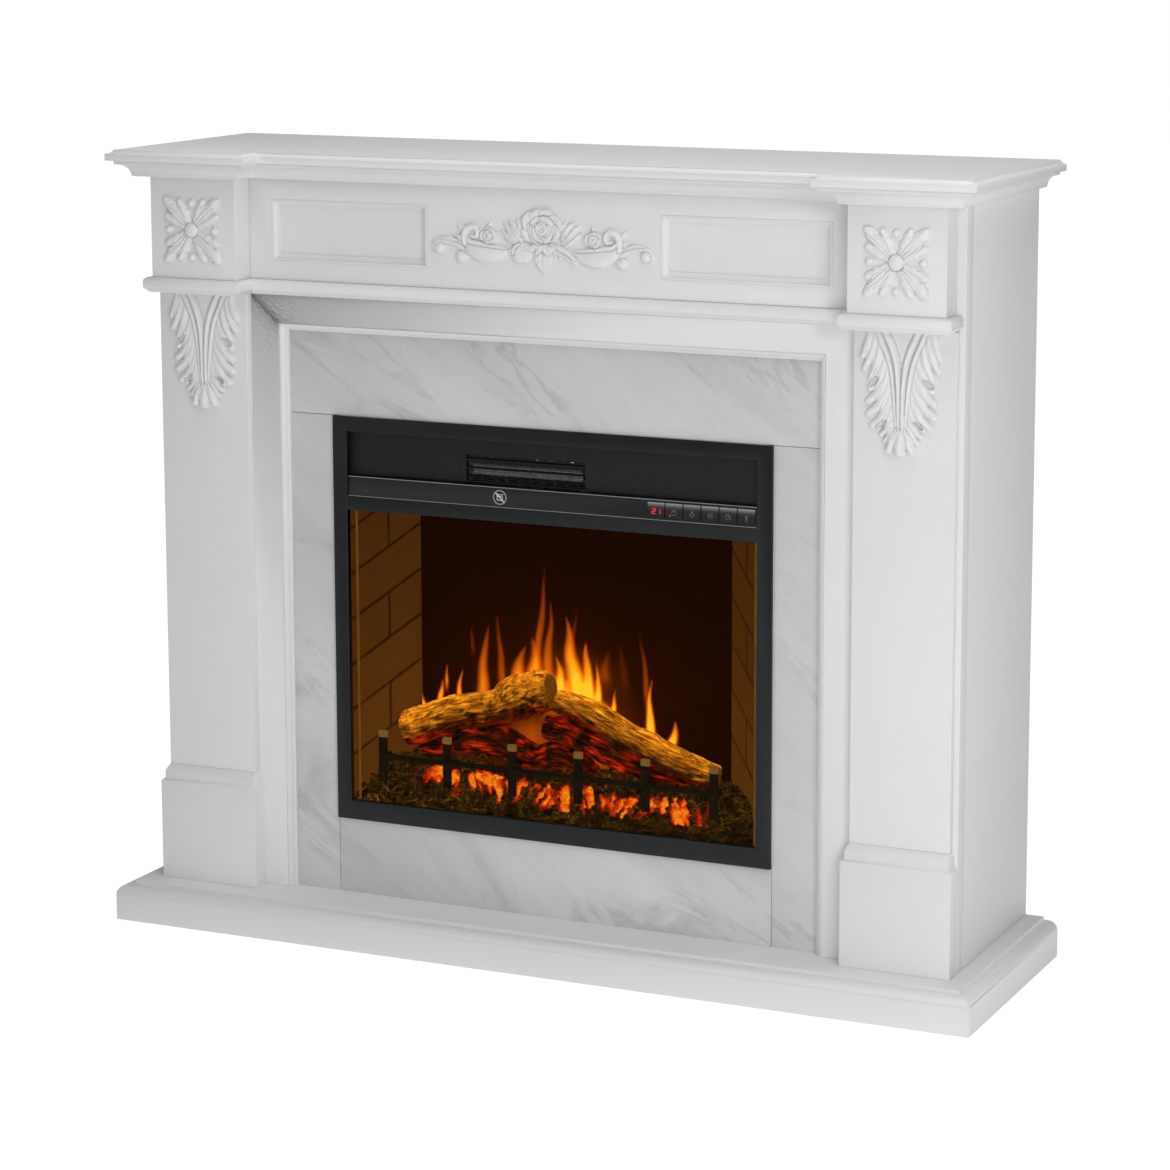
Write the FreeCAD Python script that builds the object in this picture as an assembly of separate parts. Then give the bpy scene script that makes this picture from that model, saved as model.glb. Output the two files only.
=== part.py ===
import FreeCAD
import Part
import math
import os

# Electric fireplace: a painted mantel with a marble surround and a glazed electric insert.
# Millimetres, +Z up, front towards -Y. The origin is under the middle of the base.

# ---- mantel, overall
HEIGHT = 1004.0
BASE_WIDTH = 1171.0
BASE_DEPTH = 346.0

# ---- planes, each measured back from the front of the base
BLOCK_SETBACK = 38.0
PLINTH_SETBACK = 49.0
CAP_SETBACK = 53.0
SHAFT_SETBACK = 63.0
FACE_SETBACK = 74.0
FRAME_SETBACK = 84.0
MARBLE_SETBACK = 88.0

# ---- base
BASE_FASCIA_HEIGHT = 36.0
BASE_FASCIA_BOARD = 18.0
BASE_TOP_BOARD = 14.0
OVOLO_WIDTH = 15.0
OVOLO_HEIGHT = 10.0
OVOLO_STEP = 3.0
BODY_INSET = 42.0

# ---- carcass boards
FACE_BOARD = 24.0
SIDE_BOARD = 16.0
SHELF_OVERHANG = 34.0
SHELF_BOARD = 13.5
CAVETTO_WIDTH = 8.0
CAVETTO_HEIGHT = 4.5
BACK_RAIL_HEIGHT = 80.0
RAIL_BOARD = 16.0

# ---- cornice under the shelf
CORNICE_HEIGHT = 20.5
CORNICE_FILLET_STEP = 8.0
CORNICE_FILLET = 5.0
CORNICE_FOOT_REACH = 10.0
CORNICE_FOOT = 1.5
CORNICE_DEPTH_INSIDE = 40.0

# ---- frieze and architrave band
BAND_DROP = 162.0
BAND_HEIGHT = 19.0
BAND_PROUD = 9.0
BAND_ROUND = 5.0
BAND_UNDERCUT = 6.0
FRIEZE_PANEL_WIDTH = 220.0
FRIEZE_PANEL_HEIGHT = 77.5
FRIEZE_PANEL_DEPTH = 9.0
FRIEZE_PANEL_TOP_MARGIN = 26.0
FRIEZE_PANEL_END_MARGIN = 32.0
PANEL_FRAME_WIDTH = 9.0
PANEL_FRAME_LIP = 2.0
PANEL_FRAME_RIM = 2.5
GARLAND_WIDTH = 304.0
GARLAND_HEIGHT = 77.0
GARLAND_RELIEF = 9.0

# ---- pilasters
CASING_WIDTH = 39.5
BLOCK_END_INSET = 11.5
SHAFT_END_INSET = 6.5
PLINTH_OVERLAP = 6.5
PLINTH_HEIGHT = 130.5
CAP_RISE = 10.0
CAP_BEVEL = 8.0
CAP_LIP = 2.0
ROSETTE_MARGIN = 20.0
ROSETTE_HEIGHT = 78.0
ROSETTE_RELIEF = 9.0
ROSETTE_DROP = 27.0
ACANTHUS_WIDTH = 102.0
ACANTHUS_HEIGHT = 148.0
ACANTHUS_RELIEF = 14.0

# ---- marble surround and bead
MARBLE_SIDE = 61.0
MARBLE_TOP = 106.0
MARBLE_SEAM = 0.6
BEAD_WIDTH = 9.0
BEAD_LIP = 1.5
SURROUND_BOARD = 12.0

# ---- insert, front
FRAME_WIDTH = 600.0
FRAME_HEIGHT = 524.0
FRAME_BASE = 148.0
FRAME_FLANGE = 4.0
FRAME_SIDE = 20.0
FRAME_BOTTOM = 25.0
FRAME_TOP = 19.0
VENT_HEIGHT = 57.0
CONTROL_HEIGHT = 26.0
GLASS_BAR_HEIGHT = 17.5
FIT = 0.5
BAR_RECESS = 2.0
BAR_BOARD = 4.0
NECK_DEPTH = 8.0
GLASS_THICKNESS = 4.0
GLASS_EDGE = 5.0
GRILLE_RECESS = 12.0
GRILLE_SHEET = 1.0

# ---- insert, case
CASE_DEPTH = 172.0
CASE_SHEET = 1.5
CASE_INSET = 10.0
CASE_CLEARANCE = 2.0
DIVIDER_RISE = 6.0
BACK_COVER = 1.5
COVER_SLOTS = 9
COVER_SLOT_PITCH = 24.0
COVER_SLOT_WIDTH = 6.0
COVER_SLOT_HEIGHT = 40.0
CASE_LIP = 12.0
SHELF_UNDER_INSERT = 16.0
BRACKET_SHEET = 2.0
BRACKET_LEG = 30.0
BRACKET_HEIGHT = 40.0

# ---- firebox
FIREBOX_DEPTH = 62.0
FIREBOX_SPLAY = 72.0
FIREBOX_FRONT_GAP = 3.0
BRICK_BOARD = 6.0
SCREEN_THICKNESS = 3.0
EMBER_HEIGHT = 76.0
EMBER_FRONT = 20.0
EMBER_RAMP = 30.0
GRATE_WIDTH = 472.0
GRATE_RISE = 66.0
GRATE_BAR_HEIGHT = 7.0
GRATE_BAR_DEPTH = 5.0
GRATE_POSTS = 6
GRATE_POST_WIDTH = 11.0
GRATE_POST_UP = 30.0
GRATE_POST_DOWN = 30.0
GRATE_ARM = 18.0
GRATE_STANDOFF = 8.0
LOG_LEFT_DIAMETER = 42.0
LOG_RIGHT_DIAMETER = 31.0
FUEL_OFFSET = -16.0
LOG_REACH = 218.0
LOG_FORWARD = 8.0
LOG_PLACE = 0.62
EMBER_LOG_REACH = 200.0
LOG_LEFT_FOOT = 104.0
LOG_LEFT_TIP = 172.0
LOG_RIGHT_FOOT = 90.0
LOG_RIGHT_TIP = 160.0
EMBER_LOG_DIAMETER = 30.0

# ---- flame drive
SPINDLE_DIAMETER = 44.0
SPINDLE_ROD = 6.0
SPINDLE_FINS = 6
SPINDLE_FIN_SHEET = 0.8
SPINDLE_FIN_LENGTH = 50.0
SPINDLE_FIN_GAP = 4.0
SPINDLE_RISE = 70.0
SPINDLE_BEHIND_SCREEN = 34.0
SPINDLE_END_GAP = 34.0
MOTOR_DIAMETER = 50.0
MOTOR_LENGTH = 18.0
BEARING_DIAMETER = 14.0
BEARING_LENGTH = 6.0
BORE_CLEARANCE = 0.05
LED_BOARD = 1.6
LED_BOARD_DEPTH = 24.0
LED_COUNT = 12
LED_SIZE = 5.0

# ---- blower and heater
OUTLET_WIDTH = 168.0
OUTLET_HEIGHT = 37.0
OUTLET_OFFSET = -35.0
OUTLET_FRAME = 4.0
OUTLET_RISE = 1.5
LOUVRE_BLADES = 3
LOUVRE_SHEET = 1.2
LOUVRE_DEPTH = 9.0
LOUVRE_TILT = 25.0
HEATER_DEPTH = 14.0
HEATER_GAP = 4.0
HEATER_CELL = 8.0
HEATER_WALL = 1.2
FAN_DIAMETER = 50.0
FAN_HUB = 6.0
FAN_BLADES = 16
FAN_BLADE_SHEET = 0.8
FAN_BLADE_DEPTH = 7.0
FAN_DISC = 2.0
FAN_CLEARANCE = 3.0
DUCT_SHEET = 1.2
FAN_MOTOR_DIAMETER = 42.0
FAN_MOTOR_LENGTH = 34.0

# ---- controls
TILE_COUNT = 6
TILE_WIDTH = 22.0
TILE_GAP = 1.8
TILE_HEIGHT = 18.5
TILE_END_MARGIN = 3.0
TILE_PROUD = 1.0
TILE_DEPTH = 6.0
TILE_CLEARANCE = 0.3
TILE_FLANGE = 1.0
BUTTON_TRAVEL = 1.2
SWITCH_GAP = 0.3
SWITCH_SIZE = 6.0
SWITCH_HEIGHT = 4.0
CONTROL_PCB = 1.6
BUTTON_NAMES = ["power", "flame", "heat", "timer", "temperature"]

# ---- fasteners and cable entry
SCREW_HEAD = 8.0
SCREW_HEAD_HEIGHT = 2.4
SCREW_SHANK = 3.5
SCREW_LENGTH = 10.0
GLAND_DIAMETER = 18.0
GLAND_BORE = 8.0
GLAND_LENGTH = 10.0
GLAND_FLANGE = 24.0
GLAND_FLANGE_SHEET = 2.0

# ---- worked out from the values above
BACK = BASE_DEPTH / 2
FRONT = -BASE_DEPTH / 2
BASE_TOP = BASE_FASCIA_HEIGHT + BASE_TOP_BOARD
BODY = BASE_WIDTH / 2 - BODY_INSET
SHELF_BOTTOM = HEIGHT - SHELF_BOARD
CORNICE_BOTTOM = SHELF_BOTTOM - CORNICE_HEIGHT
BAND_TOP = HEIGHT - BAND_DROP
BAND_BOTTOM = BAND_TOP - BAND_HEIGHT
FACE = FRONT + FACE_SETBACK
BLOCK_FACE = FRONT + BLOCK_SETBACK
SHAFT_FACE = FRONT + SHAFT_SETBACK
PLINTH_FACE = FRONT + PLINTH_SETBACK
CAP_FACE = FRONT + CAP_SETBACK
MARBLE_FACE = FRONT + MARBLE_SETBACK
FRAME_FACE = FRONT + FRAME_SETBACK
FACE_BACK = FACE + FACE_BOARD
FRAME_HALF = FRAME_WIDTH / 2
FRAME_TOP_Z = FRAME_BASE + FRAME_HEIGHT
MARBLE_HALF = FRAME_HALF + MARBLE_SIDE
MARBLE_TOP_Z = FRAME_TOP_Z + MARBLE_TOP
OPENING = MARBLE_HALF + BEAD_WIDTH
OPENING_TOP = MARBLE_TOP_Z + BEAD_WIDTH
LEG_INNER = OPENING + CASING_WIDTH
BLOCK_OUTER = BODY - BLOCK_END_INSET
SHAFT_OUTER = BODY - SHAFT_END_INSET
MARBLE_BACK = FACE_BACK
CASE_HALF = FRAME_HALF - CASE_INSET
CASE_BOTTOM = FRAME_BASE + CASE_INSET
CASE_TOP = FRAME_TOP_Z - CASE_INSET
CASE_FRONT = FRAME_FACE + FRAME_FLANGE
CASE_BACK = CASE_FRONT + CASE_DEPTH
MOUTH_HALF = FRAME_HALF - FRAME_SIDE
MOUTH_BOTTOM = FRAME_BASE + FRAME_BOTTOM
MOUTH_TOP = FRAME_TOP_Z - FRAME_TOP
VENT_BOTTOM = MOUTH_TOP - VENT_HEIGHT
CONTROL_BOTTOM = VENT_BOTTOM - CONTROL_HEIGHT
GLASS_TOP = CONTROL_BOTTOM - GLASS_BAR_HEIGHT
GLASS_FACE = FRAME_FACE + NECK_DEPTH
GRILLE_FACE = FRAME_FACE + GRILLE_RECESS
BAR_FACE = FRAME_FACE + BAR_RECESS
FIREBOX_FRONT = GLASS_FACE + GLASS_THICKNESS + FIREBOX_FRONT_GAP
SCREEN_FACE = FIREBOX_FRONT + FIREBOX_DEPTH
DIVIDER = GLASS_TOP + DIVIDER_RISE
FIREBOX_FLOOR = CASE_BOTTOM + CASE_SHEET
FIREBOX_HALF = CASE_HALF - CASE_SHEET - FIT
SCREEN_HALF = FIREBOX_HALF - FIREBOX_SPLAY

parts = {}


def box(x0, x1, y0, y1, z0, z1):
    return Part.makeBox(x1 - x0, y1 - y0, z1 - z0, FreeCAD.Vector(x0, y0, z0))


def rod(point, direction, radius, length):
    return Part.makeCylinder(radius, length, FreeCAD.Vector(*point), FreeCAD.Vector(*direction))


def prism(points, z0, z1):
    ring = [FreeCAD.Vector(x, y, z0) for x, y in points]
    face = Part.Face(Part.makePolygon(ring + ring[:1]))
    return face.extrude(FreeCAD.Vector(0, 0, z1 - z0))


def front_prism(points, y0, y1):
    ring = [FreeCAD.Vector(x, y0, z) for x, z in points]
    face = Part.Face(Part.makePolygon(ring + ring[:1]))
    return face.extrude(FreeCAD.Vector(0, y1 - y0, 0))


def mirrored(shape):
    return shape.mirror(FreeCAD.Vector(0, 0, 0), FreeCAD.Vector(1, 0, 0))


def fused(shapes):
    return shapes[0].fuse(shapes[1:]).removeSplitter() if len(shapes) > 1 else shapes[0]


def group(shapes):
    return Part.makeCompound(shapes)


def section(steps, place):
    # Face from a list of (offset, height) points; a step of two points is an arc.
    edges = []
    here = steps[0]
    for step in list(steps[1:]) + [steps[0]]:
        if isinstance(step[0], tuple):
            middle, end = step
            edges.append(Part.Arc(place(*here), place(*middle), place(*end)).toShape())
            here = end
        else:
            edges.append(Part.LineSegment(place(*here), place(*step)).toShape())
            here = step
    return Part.Face(Part.Wire(edges))


def unit(a, b):
    length = math.hypot(b[0] - a[0], b[1] - a[1])
    return ((b[0] - a[0]) / length, (b[1] - a[1]) / length)


def mitres(path):
    # Outward normals of the legs, and the move at each corner for one unit of outward offset.
    normals = []
    for a, b in zip(path, path[1:]):
        dx, dy = unit(a, b)
        normals.append((dy, -dx))
    out = [normals[0]]
    for n, m in zip(normals, normals[1:]):
        scale = 1 + n[0] * m[0] + n[1] * m[1]
        out.append(((n[0] + m[0]) / scale, (n[1] + m[1]) / scale))
    out.append(normals[-1])
    return normals, out


def moulding(path, steps, inner, outer):
    # Run a section along a plan path with mitred corners. Offsets are outward from the path.
    normals, corners = mitres(path)
    reach = max(abs(inner), abs(outer)) * 2
    heights = [p[1] for s in steps for p in (s if isinstance(s[0], tuple) else (s,))]
    low, high = min(heights) - 1, max(heights) + 1
    legs = []
    for i, (a, b) in enumerate(zip(path, path[1:])):
        d = unit(a, b)
        n = normals[i]
        start = (a[0] - d[0] * reach, a[1] - d[1] * reach)
        length = math.hypot(b[0] - a[0], b[1] - a[1]) + 2 * reach

        def place(offset, z):
            return FreeCAD.Vector(start[0] + n[0] * offset, start[1] + n[1] * offset, z)

        bar = section(steps, place).extrude(FreeCAD.Vector(d[0] * length, d[1] * length, 0))
        ma, mb = corners[i], corners[i + 1]
        wedge = [(a[0] + ma[0] * inner, a[1] + ma[1] * inner), (b[0] + mb[0] * inner, b[1] + mb[1] * inner),
                 (b[0] + mb[0] * outer, b[1] + mb[1] * outer), (a[0] + ma[0] * outer, a[1] + ma[1] * outer)]
        legs.append(bar.common(prism(wedge, low, high)))
    return fused(legs)


def front_moulding(path, steps, inner, outer, y_face):
    # The same in the front plane: path points are (x, z) and section heights stand out to -Y.
    flat = moulding(path, steps, inner, outer)
    flat.rotate(FreeCAD.Vector(0, 0, 0), FreeCAD.Vector(1, 0, 0), 90)
    flat.translate(FreeCAD.Vector(0, y_face, 0))
    return flat


def closed_front_moulding(path, steps, outer, y_face):
    # Picture frame: the path comes back to its first point, so the joint there is mitred too.
    legs = []
    ring = path[:-1]
    count = len(ring)
    for i in range(count):
        run = [ring[(i + k - 1) % count] for k in range(4)]
        flat = moulding(run, steps, 0, outer)
        normals, corners = mitres(run)
        keep = prism([(run[1][0], run[1][1]), (run[2][0], run[2][1]),
                      (run[2][0] + corners[2][0] * outer, run[2][1] + corners[2][1] * outer),
                      (run[1][0] + corners[1][0] * outer, run[1][1] + corners[1][1] * outer)], -1, outer * 2)
        legs.append(flat.common(keep))
    flat = fused(legs)
    flat.rotate(FreeCAD.Vector(0, 0, 0), FreeCAD.Vector(1, 0, 0), 90)
    flat.translate(FreeCAD.Vector(0, y_face, 0))
    return flat


def offset_path(path, distance):
    corners = mitres(path)[1]
    return [(p[0] + m[0] * distance, p[1] + m[1] * distance) for p, m in zip(path, corners)]


def breakfront(side, end_face, centre_half, centre_face, back):
    # Plan path round the left side, the two projecting ends, the recessed centre and the right side.
    return [(-side, back), (-side, end_face), (-centre_half, end_face), (-centre_half, centre_face),
            (centre_half, centre_face), (centre_half, end_face), (side, end_face), (side, back)]


# ---------------------------------------------------------------- mantel carcass

def base():
    half = BASE_WIDTH / 2
    outer = [(-half, BACK), (-half, FRONT), (half, FRONT), (half, BACK)]
    edge_top = BASE_FASCIA_HEIGHT + OVOLO_HEIGHT
    inside = -(OVOLO_WIDTH + OVOLO_STEP + 10)
    bend = math.sin(math.pi / 4)
    steps = [(inside, BASE_FASCIA_HEIGHT), (0, BASE_FASCIA_HEIGHT),
             ((-OVOLO_WIDTH * (1 - bend), BASE_FASCIA_HEIGHT + OVOLO_HEIGHT * bend),
              (-OVOLO_WIDTH, edge_top)),
             (-OVOLO_WIDTH - OVOLO_STEP, edge_top), (-OVOLO_WIDTH - OVOLO_STEP, BASE_TOP), (inside, BASE_TOP)]
    edge = moulding(outer, steps, inside, 1)
    middle = prism(offset_path(outer, inside), BASE_FASCIA_HEIGHT, BASE_TOP)
    parts["base_board"] = fused([edge, middle])
    board = BASE_FASCIA_BOARD
    solid = box(-half, half, FRONT, BACK, 0, BASE_FASCIA_HEIGHT)
    hollow = box(-half + board, half - board, FRONT + board, BACK - board, -1, BASE_FASCIA_HEIGHT + 1)
    parts["base_fascia"] = solid.cut(hollow)


def shelf_and_cornice():
    walls = breakfront(BODY, BLOCK_FACE, LEG_INNER, FACE, BACK)
    edge = offset_path(walls, SHELF_OVERHANG)
    inside = -CAVETTO_WIDTH
    top = HEIGHT
    start = top - CAVETTO_HEIGHT
    sink = 1 - math.sin(math.pi / 4)
    steps = [(inside, SHELF_BOTTOM), (0, SHELF_BOTTOM), (0, start),
             ((-CAVETTO_WIDTH * (1 - sink), start + CAVETTO_HEIGHT * sink), (inside, top))]
    lip = moulding(edge, steps, inside, 1)
    core = prism(offset_path(edge, inside), SHELF_BOTTOM, top)
    parts["shelf_top"] = fused([lip, core])
    fillet = SHELF_OVERHANG - CORNICE_FILLET_STEP
    foot = CORNICE_FOOT_REACH
    low = CORNICE_BOTTOM + CORNICE_FOOT
    high = SHELF_BOTTOM - CORNICE_FILLET
    cove = (fillet - (fillet - foot) * (1 - sink), high - (high - low) * sink)
    steps = [(-CORNICE_DEPTH_INSIDE, CORNICE_BOTTOM), (foot, CORNICE_BOTTOM), (foot, low),
             (cove, (fillet, high)), (fillet, SHELF_BOTTOM), (-CORNICE_DEPTH_INSIDE, SHELF_BOTTOM)]
    parts["cornice_moulding"] = moulding(walls, steps, -CORNICE_DEPTH_INSIDE, fillet + 1)


def band():
    ends = breakfront(BLOCK_OUTER, BLOCK_FACE, LEG_INNER, FACE, FACE)
    mid = BAND_TOP - BAND_ROUND
    low = BAND_BOTTOM + BAND_UNDERCUT
    bend = math.sin(math.pi / 4)
    steps = [(0, BAND_BOTTOM), (BAND_PROUD - BAND_UNDERCUT, BAND_BOTTOM), (BAND_PROUD, low),
             (BAND_PROUD, mid), ((BAND_PROUD - BAND_ROUND * (1 - bend), mid + BAND_ROUND * bend),
                                 (BAND_PROUD - BAND_ROUND, BAND_TOP)),
             (0, BAND_TOP)]
    strip = moulding(ends, steps, 0, BAND_PROUD + 1)
    end = box(LEG_INNER, BLOCK_OUTER, BLOCK_FACE, FACE, BAND_BOTTOM, BAND_TOP)
    centre = box(-LEG_INNER, LEG_INNER, FACE, FACE_BACK, BAND_BOTTOM, BAND_TOP)
    parts["architrave_moulding"] = fused([strip, end, mirrored(end), centre])


def frieze():
    board = box(-LEG_INNER, LEG_INNER, FACE, FACE_BACK, BAND_TOP, CORNICE_BOTTOM)
    top = CORNICE_BOTTOM - FRIEZE_PANEL_TOP_MARGIN
    outer = LEG_INNER - FRIEZE_PANEL_END_MARGIN
    inner = outer - FRIEZE_PANEL_WIDTH
    low = top - FRIEZE_PANEL_HEIGHT
    recess = box(inner, outer, FACE - 1, FACE + FRIEZE_PANEL_DEPTH, low, top)
    parts["frieze_board"] = board.cut(recess).cut(mirrored(recess))
    floor = FACE + FRIEZE_PANEL_DEPTH
    corners = [(outer, low), (inner, low), (inner, top), (outer, top), (outer, low)]
    rim = FRIEZE_PANEL_DEPTH
    steps = [(0, 0), (PANEL_FRAME_WIDTH, 0), (PANEL_FRAME_WIDTH, PANEL_FRAME_LIP),
             ((PANEL_FRAME_WIDTH * 0.45, rim * 0.45), (PANEL_FRAME_RIM, rim)), (0, rim)]
    frame = closed_front_moulding(corners, steps, PANEL_FRAME_WIDTH, floor)
    parts["frieze_panel_moulding"] = group([frame, mirrored(frame)])
    middle = top - FRIEZE_PANEL_HEIGHT / 2
    parts["frieze_garland"] = garland(middle)


def garland(z):
    half = GARLAND_WIDTH / 2
    rise = GARLAND_HEIGHT / 2
    rose = rod((0, FACE, z + rise * 0.08), (0, -1, 0), rise * 0.62, GARLAND_RELIEF)
    leaf = front_prism([(0, z - rise), (rise * 0.45, z - rise * 0.2), (0, z + rise),
                        (-rise * 0.45, z - rise * 0.2)], FACE, FACE - GARLAND_RELIEF)
    wing = front_prism([(0, z - rise * 0.3), (half * 0.5, z - rise * 0.75), (half * 0.75, z - rise * 0.6),
                        (half, z - rise * 0.55), (half, z - rise * 0.15), (half * 0.6, z + rise * 0.2),
                        (half * 0.4, z + rise * 0.5), (0, z + rise * 0.45)], FACE, FACE - GARLAND_RELIEF * 0.6)
    return fused([rose, leaf, wing, mirrored(wing)])


def casing_and_bead():
    header = front_prism([(-OPENING, OPENING_TOP), (OPENING, OPENING_TOP), (LEG_INNER, BAND_BOTTOM),
                          (-LEG_INNER, BAND_BOTTOM)], FACE, FACE_BACK)
    stile = front_prism([(OPENING, BASE_TOP), (LEG_INNER, BASE_TOP), (LEG_INNER, BAND_BOTTOM),
                         (OPENING, OPENING_TOP)], FACE, FACE_BACK)
    parts["casing"] = group([header, stile, mirrored(stile)])
    path = [(MARBLE_HALF, BASE_TOP), (MARBLE_HALF, MARBLE_TOP_Z), (-MARBLE_HALF, MARBLE_TOP_Z),
            (-MARBLE_HALF, BASE_TOP)]
    depth = MARBLE_FACE - FACE
    steps = [(0, 0), (BEAD_WIDTH, 0), (BEAD_WIDTH, depth - BEAD_LIP),
             ((BEAD_WIDTH * 0.55, depth * 0.78), (BEAD_WIDTH * 0.3, depth * 0.36)), (0, depth * 0.36)]
    parts["bead_moulding"] = front_moulding(path, steps, 0, BEAD_WIDTH, MARBLE_FACE)


def legs():
    board = box(LEG_INNER, BODY, FACE, FACE_BACK, BASE_TOP, CORNICE_BOTTOM)
    side = box(BODY - SIDE_BOARD, BODY, FACE_BACK, BACK, BASE_TOP, CORNICE_BOTTOM)
    block = box(LEG_INNER, BLOCK_OUTER, BLOCK_FACE, FACE, BAND_TOP, CORNICE_BOTTOM)
    cap_top = BASE_TOP + PLINTH_HEIGHT + CAP_LIP + CAP_RISE + CAP_BEVEL
    shaft = box(LEG_INNER, SHAFT_OUTER, SHAFT_FACE, FACE, cap_top, BAND_BOTTOM)
    plinth = plinth_block(cap_top)
    for name, shape in (("side_panel", side), ("pilaster", shaft), ("plinth", plinth)):
        parts[name + "_right"] = shape
        parts[name + "_left"] = mirrored(shape)
    parts["leg_boards"] = group([board, mirrored(board)])
    parts["end_blocks"] = group([block, mirrored(block)])


def plinth_block(cap_top):
    inner, outer = LEG_INNER - PLINTH_OVERLAP, BODY
    body_top = BASE_TOP + PLINTH_HEIGHT
    lip_top = body_top + CAP_LIP
    cap_low = lip_top + CAP_RISE
    cap_step = CAP_FACE - PLINTH_FACE
    body = box(inner, outer, PLINTH_FACE, FACE, BASE_TOP, body_top)
    lip = tapered(inner, outer, PLINTH_FACE, body_top, cap_step, lip_top)
    cap = box(inner + cap_step, outer - cap_step, CAP_FACE, FACE, lip_top, cap_low)
    rise = (LEG_INNER - inner - cap_step, outer - cap_step - SHAFT_OUTER, SHAFT_FACE - CAP_FACE)
    low = [(inner + cap_step, CAP_FACE), (outer - cap_step, CAP_FACE), (outer - cap_step, FACE),
           (inner + cap_step, FACE)]
    high = [(low[0][0] + rise[0], CAP_FACE + rise[2]), (low[1][0] - rise[1], CAP_FACE + rise[2]),
            (low[2][0] - rise[1], FACE), (low[3][0] + rise[0], FACE)]
    return fused([body, lip, cap, skin(low, cap_low, high, cap_top)])


def tapered(x0, x1, y0, z0, step, z1):
    low = [(x0, y0), (x1, y0), (x1, FACE), (x0, FACE)]
    high = [(x0 + step, y0 + step), (x1 - step, y0 + step), (x1 - step, FACE), (x0 + step, FACE)]
    return skin(low, z0, high, z1)


def skin(low, z0, high, z1):
    rings = []
    for points, z in ((low, z0), (high, z1)):
        ring = [FreeCAD.Vector(x, y, z) for x, y in points]
        rings.append(Part.makePolygon(ring + ring[:1]))
    return Part.makeLoft(rings, True, True)


def appliques():
    x = (LEG_INNER + BLOCK_OUTER) / 2
    half = (BLOCK_OUTER - LEG_INNER) / 2 - ROSETTE_MARGIN
    top = CORNICE_BOTTOM - ROSETTE_DROP
    z = top - ROSETTE_HEIGHT / 2
    rise = ROSETTE_HEIGHT / 2
    star = []
    for i in range(16):
        angle = math.pi / 8 * i
        reach = (1.0, 0.72, 1.35, 0.72)[i % 4]
        star.append((x + half * reach * math.cos(angle), z + rise * reach * math.sin(angle)))
    rosette = front_prism(star, BLOCK_FACE, BLOCK_FACE - ROSETTE_RELIEF * 0.5)
    boss = rod((x, BLOCK_FACE, z), (0, -1, 0), rise * 0.25, ROSETTE_RELIEF)
    rosette = fused([rosette, boss])
    parts["rosettes"] = group([rosette, mirrored(rosette)])
    x = (LEG_INNER + SHAFT_OUTER) / 2
    half = ACANTHUS_WIDTH / 2
    top = BAND_BOTTOM
    low = top - ACANTHUS_HEIGHT
    shoulder = top - ACANTHUS_HEIGHT * 0.3
    waist = top - ACANTHUS_HEIGHT * 0.7
    outline = [(x - half * 0.7, top), (x - half, shoulder), (x - half * 0.8, waist), (x - half * 0.3, low),
               (x + half * 0.3, low), (x + half * 0.8, waist), (x + half, shoulder), (x + half * 0.7, top)]
    leaf = front_prism(outline, SHAFT_FACE, SHAFT_FACE - ACANTHUS_RELIEF)
    parts["acanthus_leaves"] = group([leaf, mirrored(leaf)])


def marble():
    gap = MARBLE_SEAM / 2
    outer = OPENING - FIT
    window = CASE_HALF + CASE_CLEARANCE
    low, high = CASE_BOTTOM - CASE_CLEARANCE, CASE_TOP + CASE_CLEARANCE
    top = fused([box(-outer, outer, MARBLE_FACE, MARBLE_BACK, FRAME_TOP_Z + gap, OPENING_TOP - FIT),
                 box(-window, window, MARBLE_FACE, MARBLE_BACK, high, FRAME_TOP_Z + gap)])
    side = fused([box(FRAME_HALF + gap, outer, MARBLE_FACE, MARBLE_BACK, BASE_TOP, FRAME_TOP_Z - gap),
                  box(window, FRAME_HALF + gap, MARBLE_FACE, MARBLE_BACK, low, FRAME_TOP_Z - gap)])
    parts["marble_top"] = top
    parts["marble_right"] = side
    parts["marble_left"] = mirrored(side)
    parts["marble_bottom"] = box(-FRAME_HALF + gap, FRAME_HALF - gap, MARBLE_FACE, MARBLE_BACK, BASE_TOP, low)
    inside = BODY - SIDE_BOARD
    board = box(-inside, inside, FACE_BACK, FACE_BACK + SURROUND_BOARD, BASE_TOP, BAND_TOP)
    hole = box(-window, window, MARBLE_BACK - 1, BACK, low, high)
    parts["surround_board"] = board.cut(hole)
    parts["insert_shelf"] = box(-inside, inside, FACE_BACK + SURROUND_BOARD, BACK - RAIL_BOARD,
                                CASE_BOTTOM - SHELF_UNDER_INSERT, CASE_BOTTOM)
    upper = box(-inside, inside, BACK - RAIL_BOARD, BACK, CORNICE_BOTTOM - BACK_RAIL_HEIGHT, CORNICE_BOTTOM)
    lower = box(-inside, inside, BACK - RAIL_BOARD, BACK, BASE_TOP, CASE_BOTTOM)
    parts["back_rails"] = group([upper, lower])


# ---------------------------------------------------------------- insert, front

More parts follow.
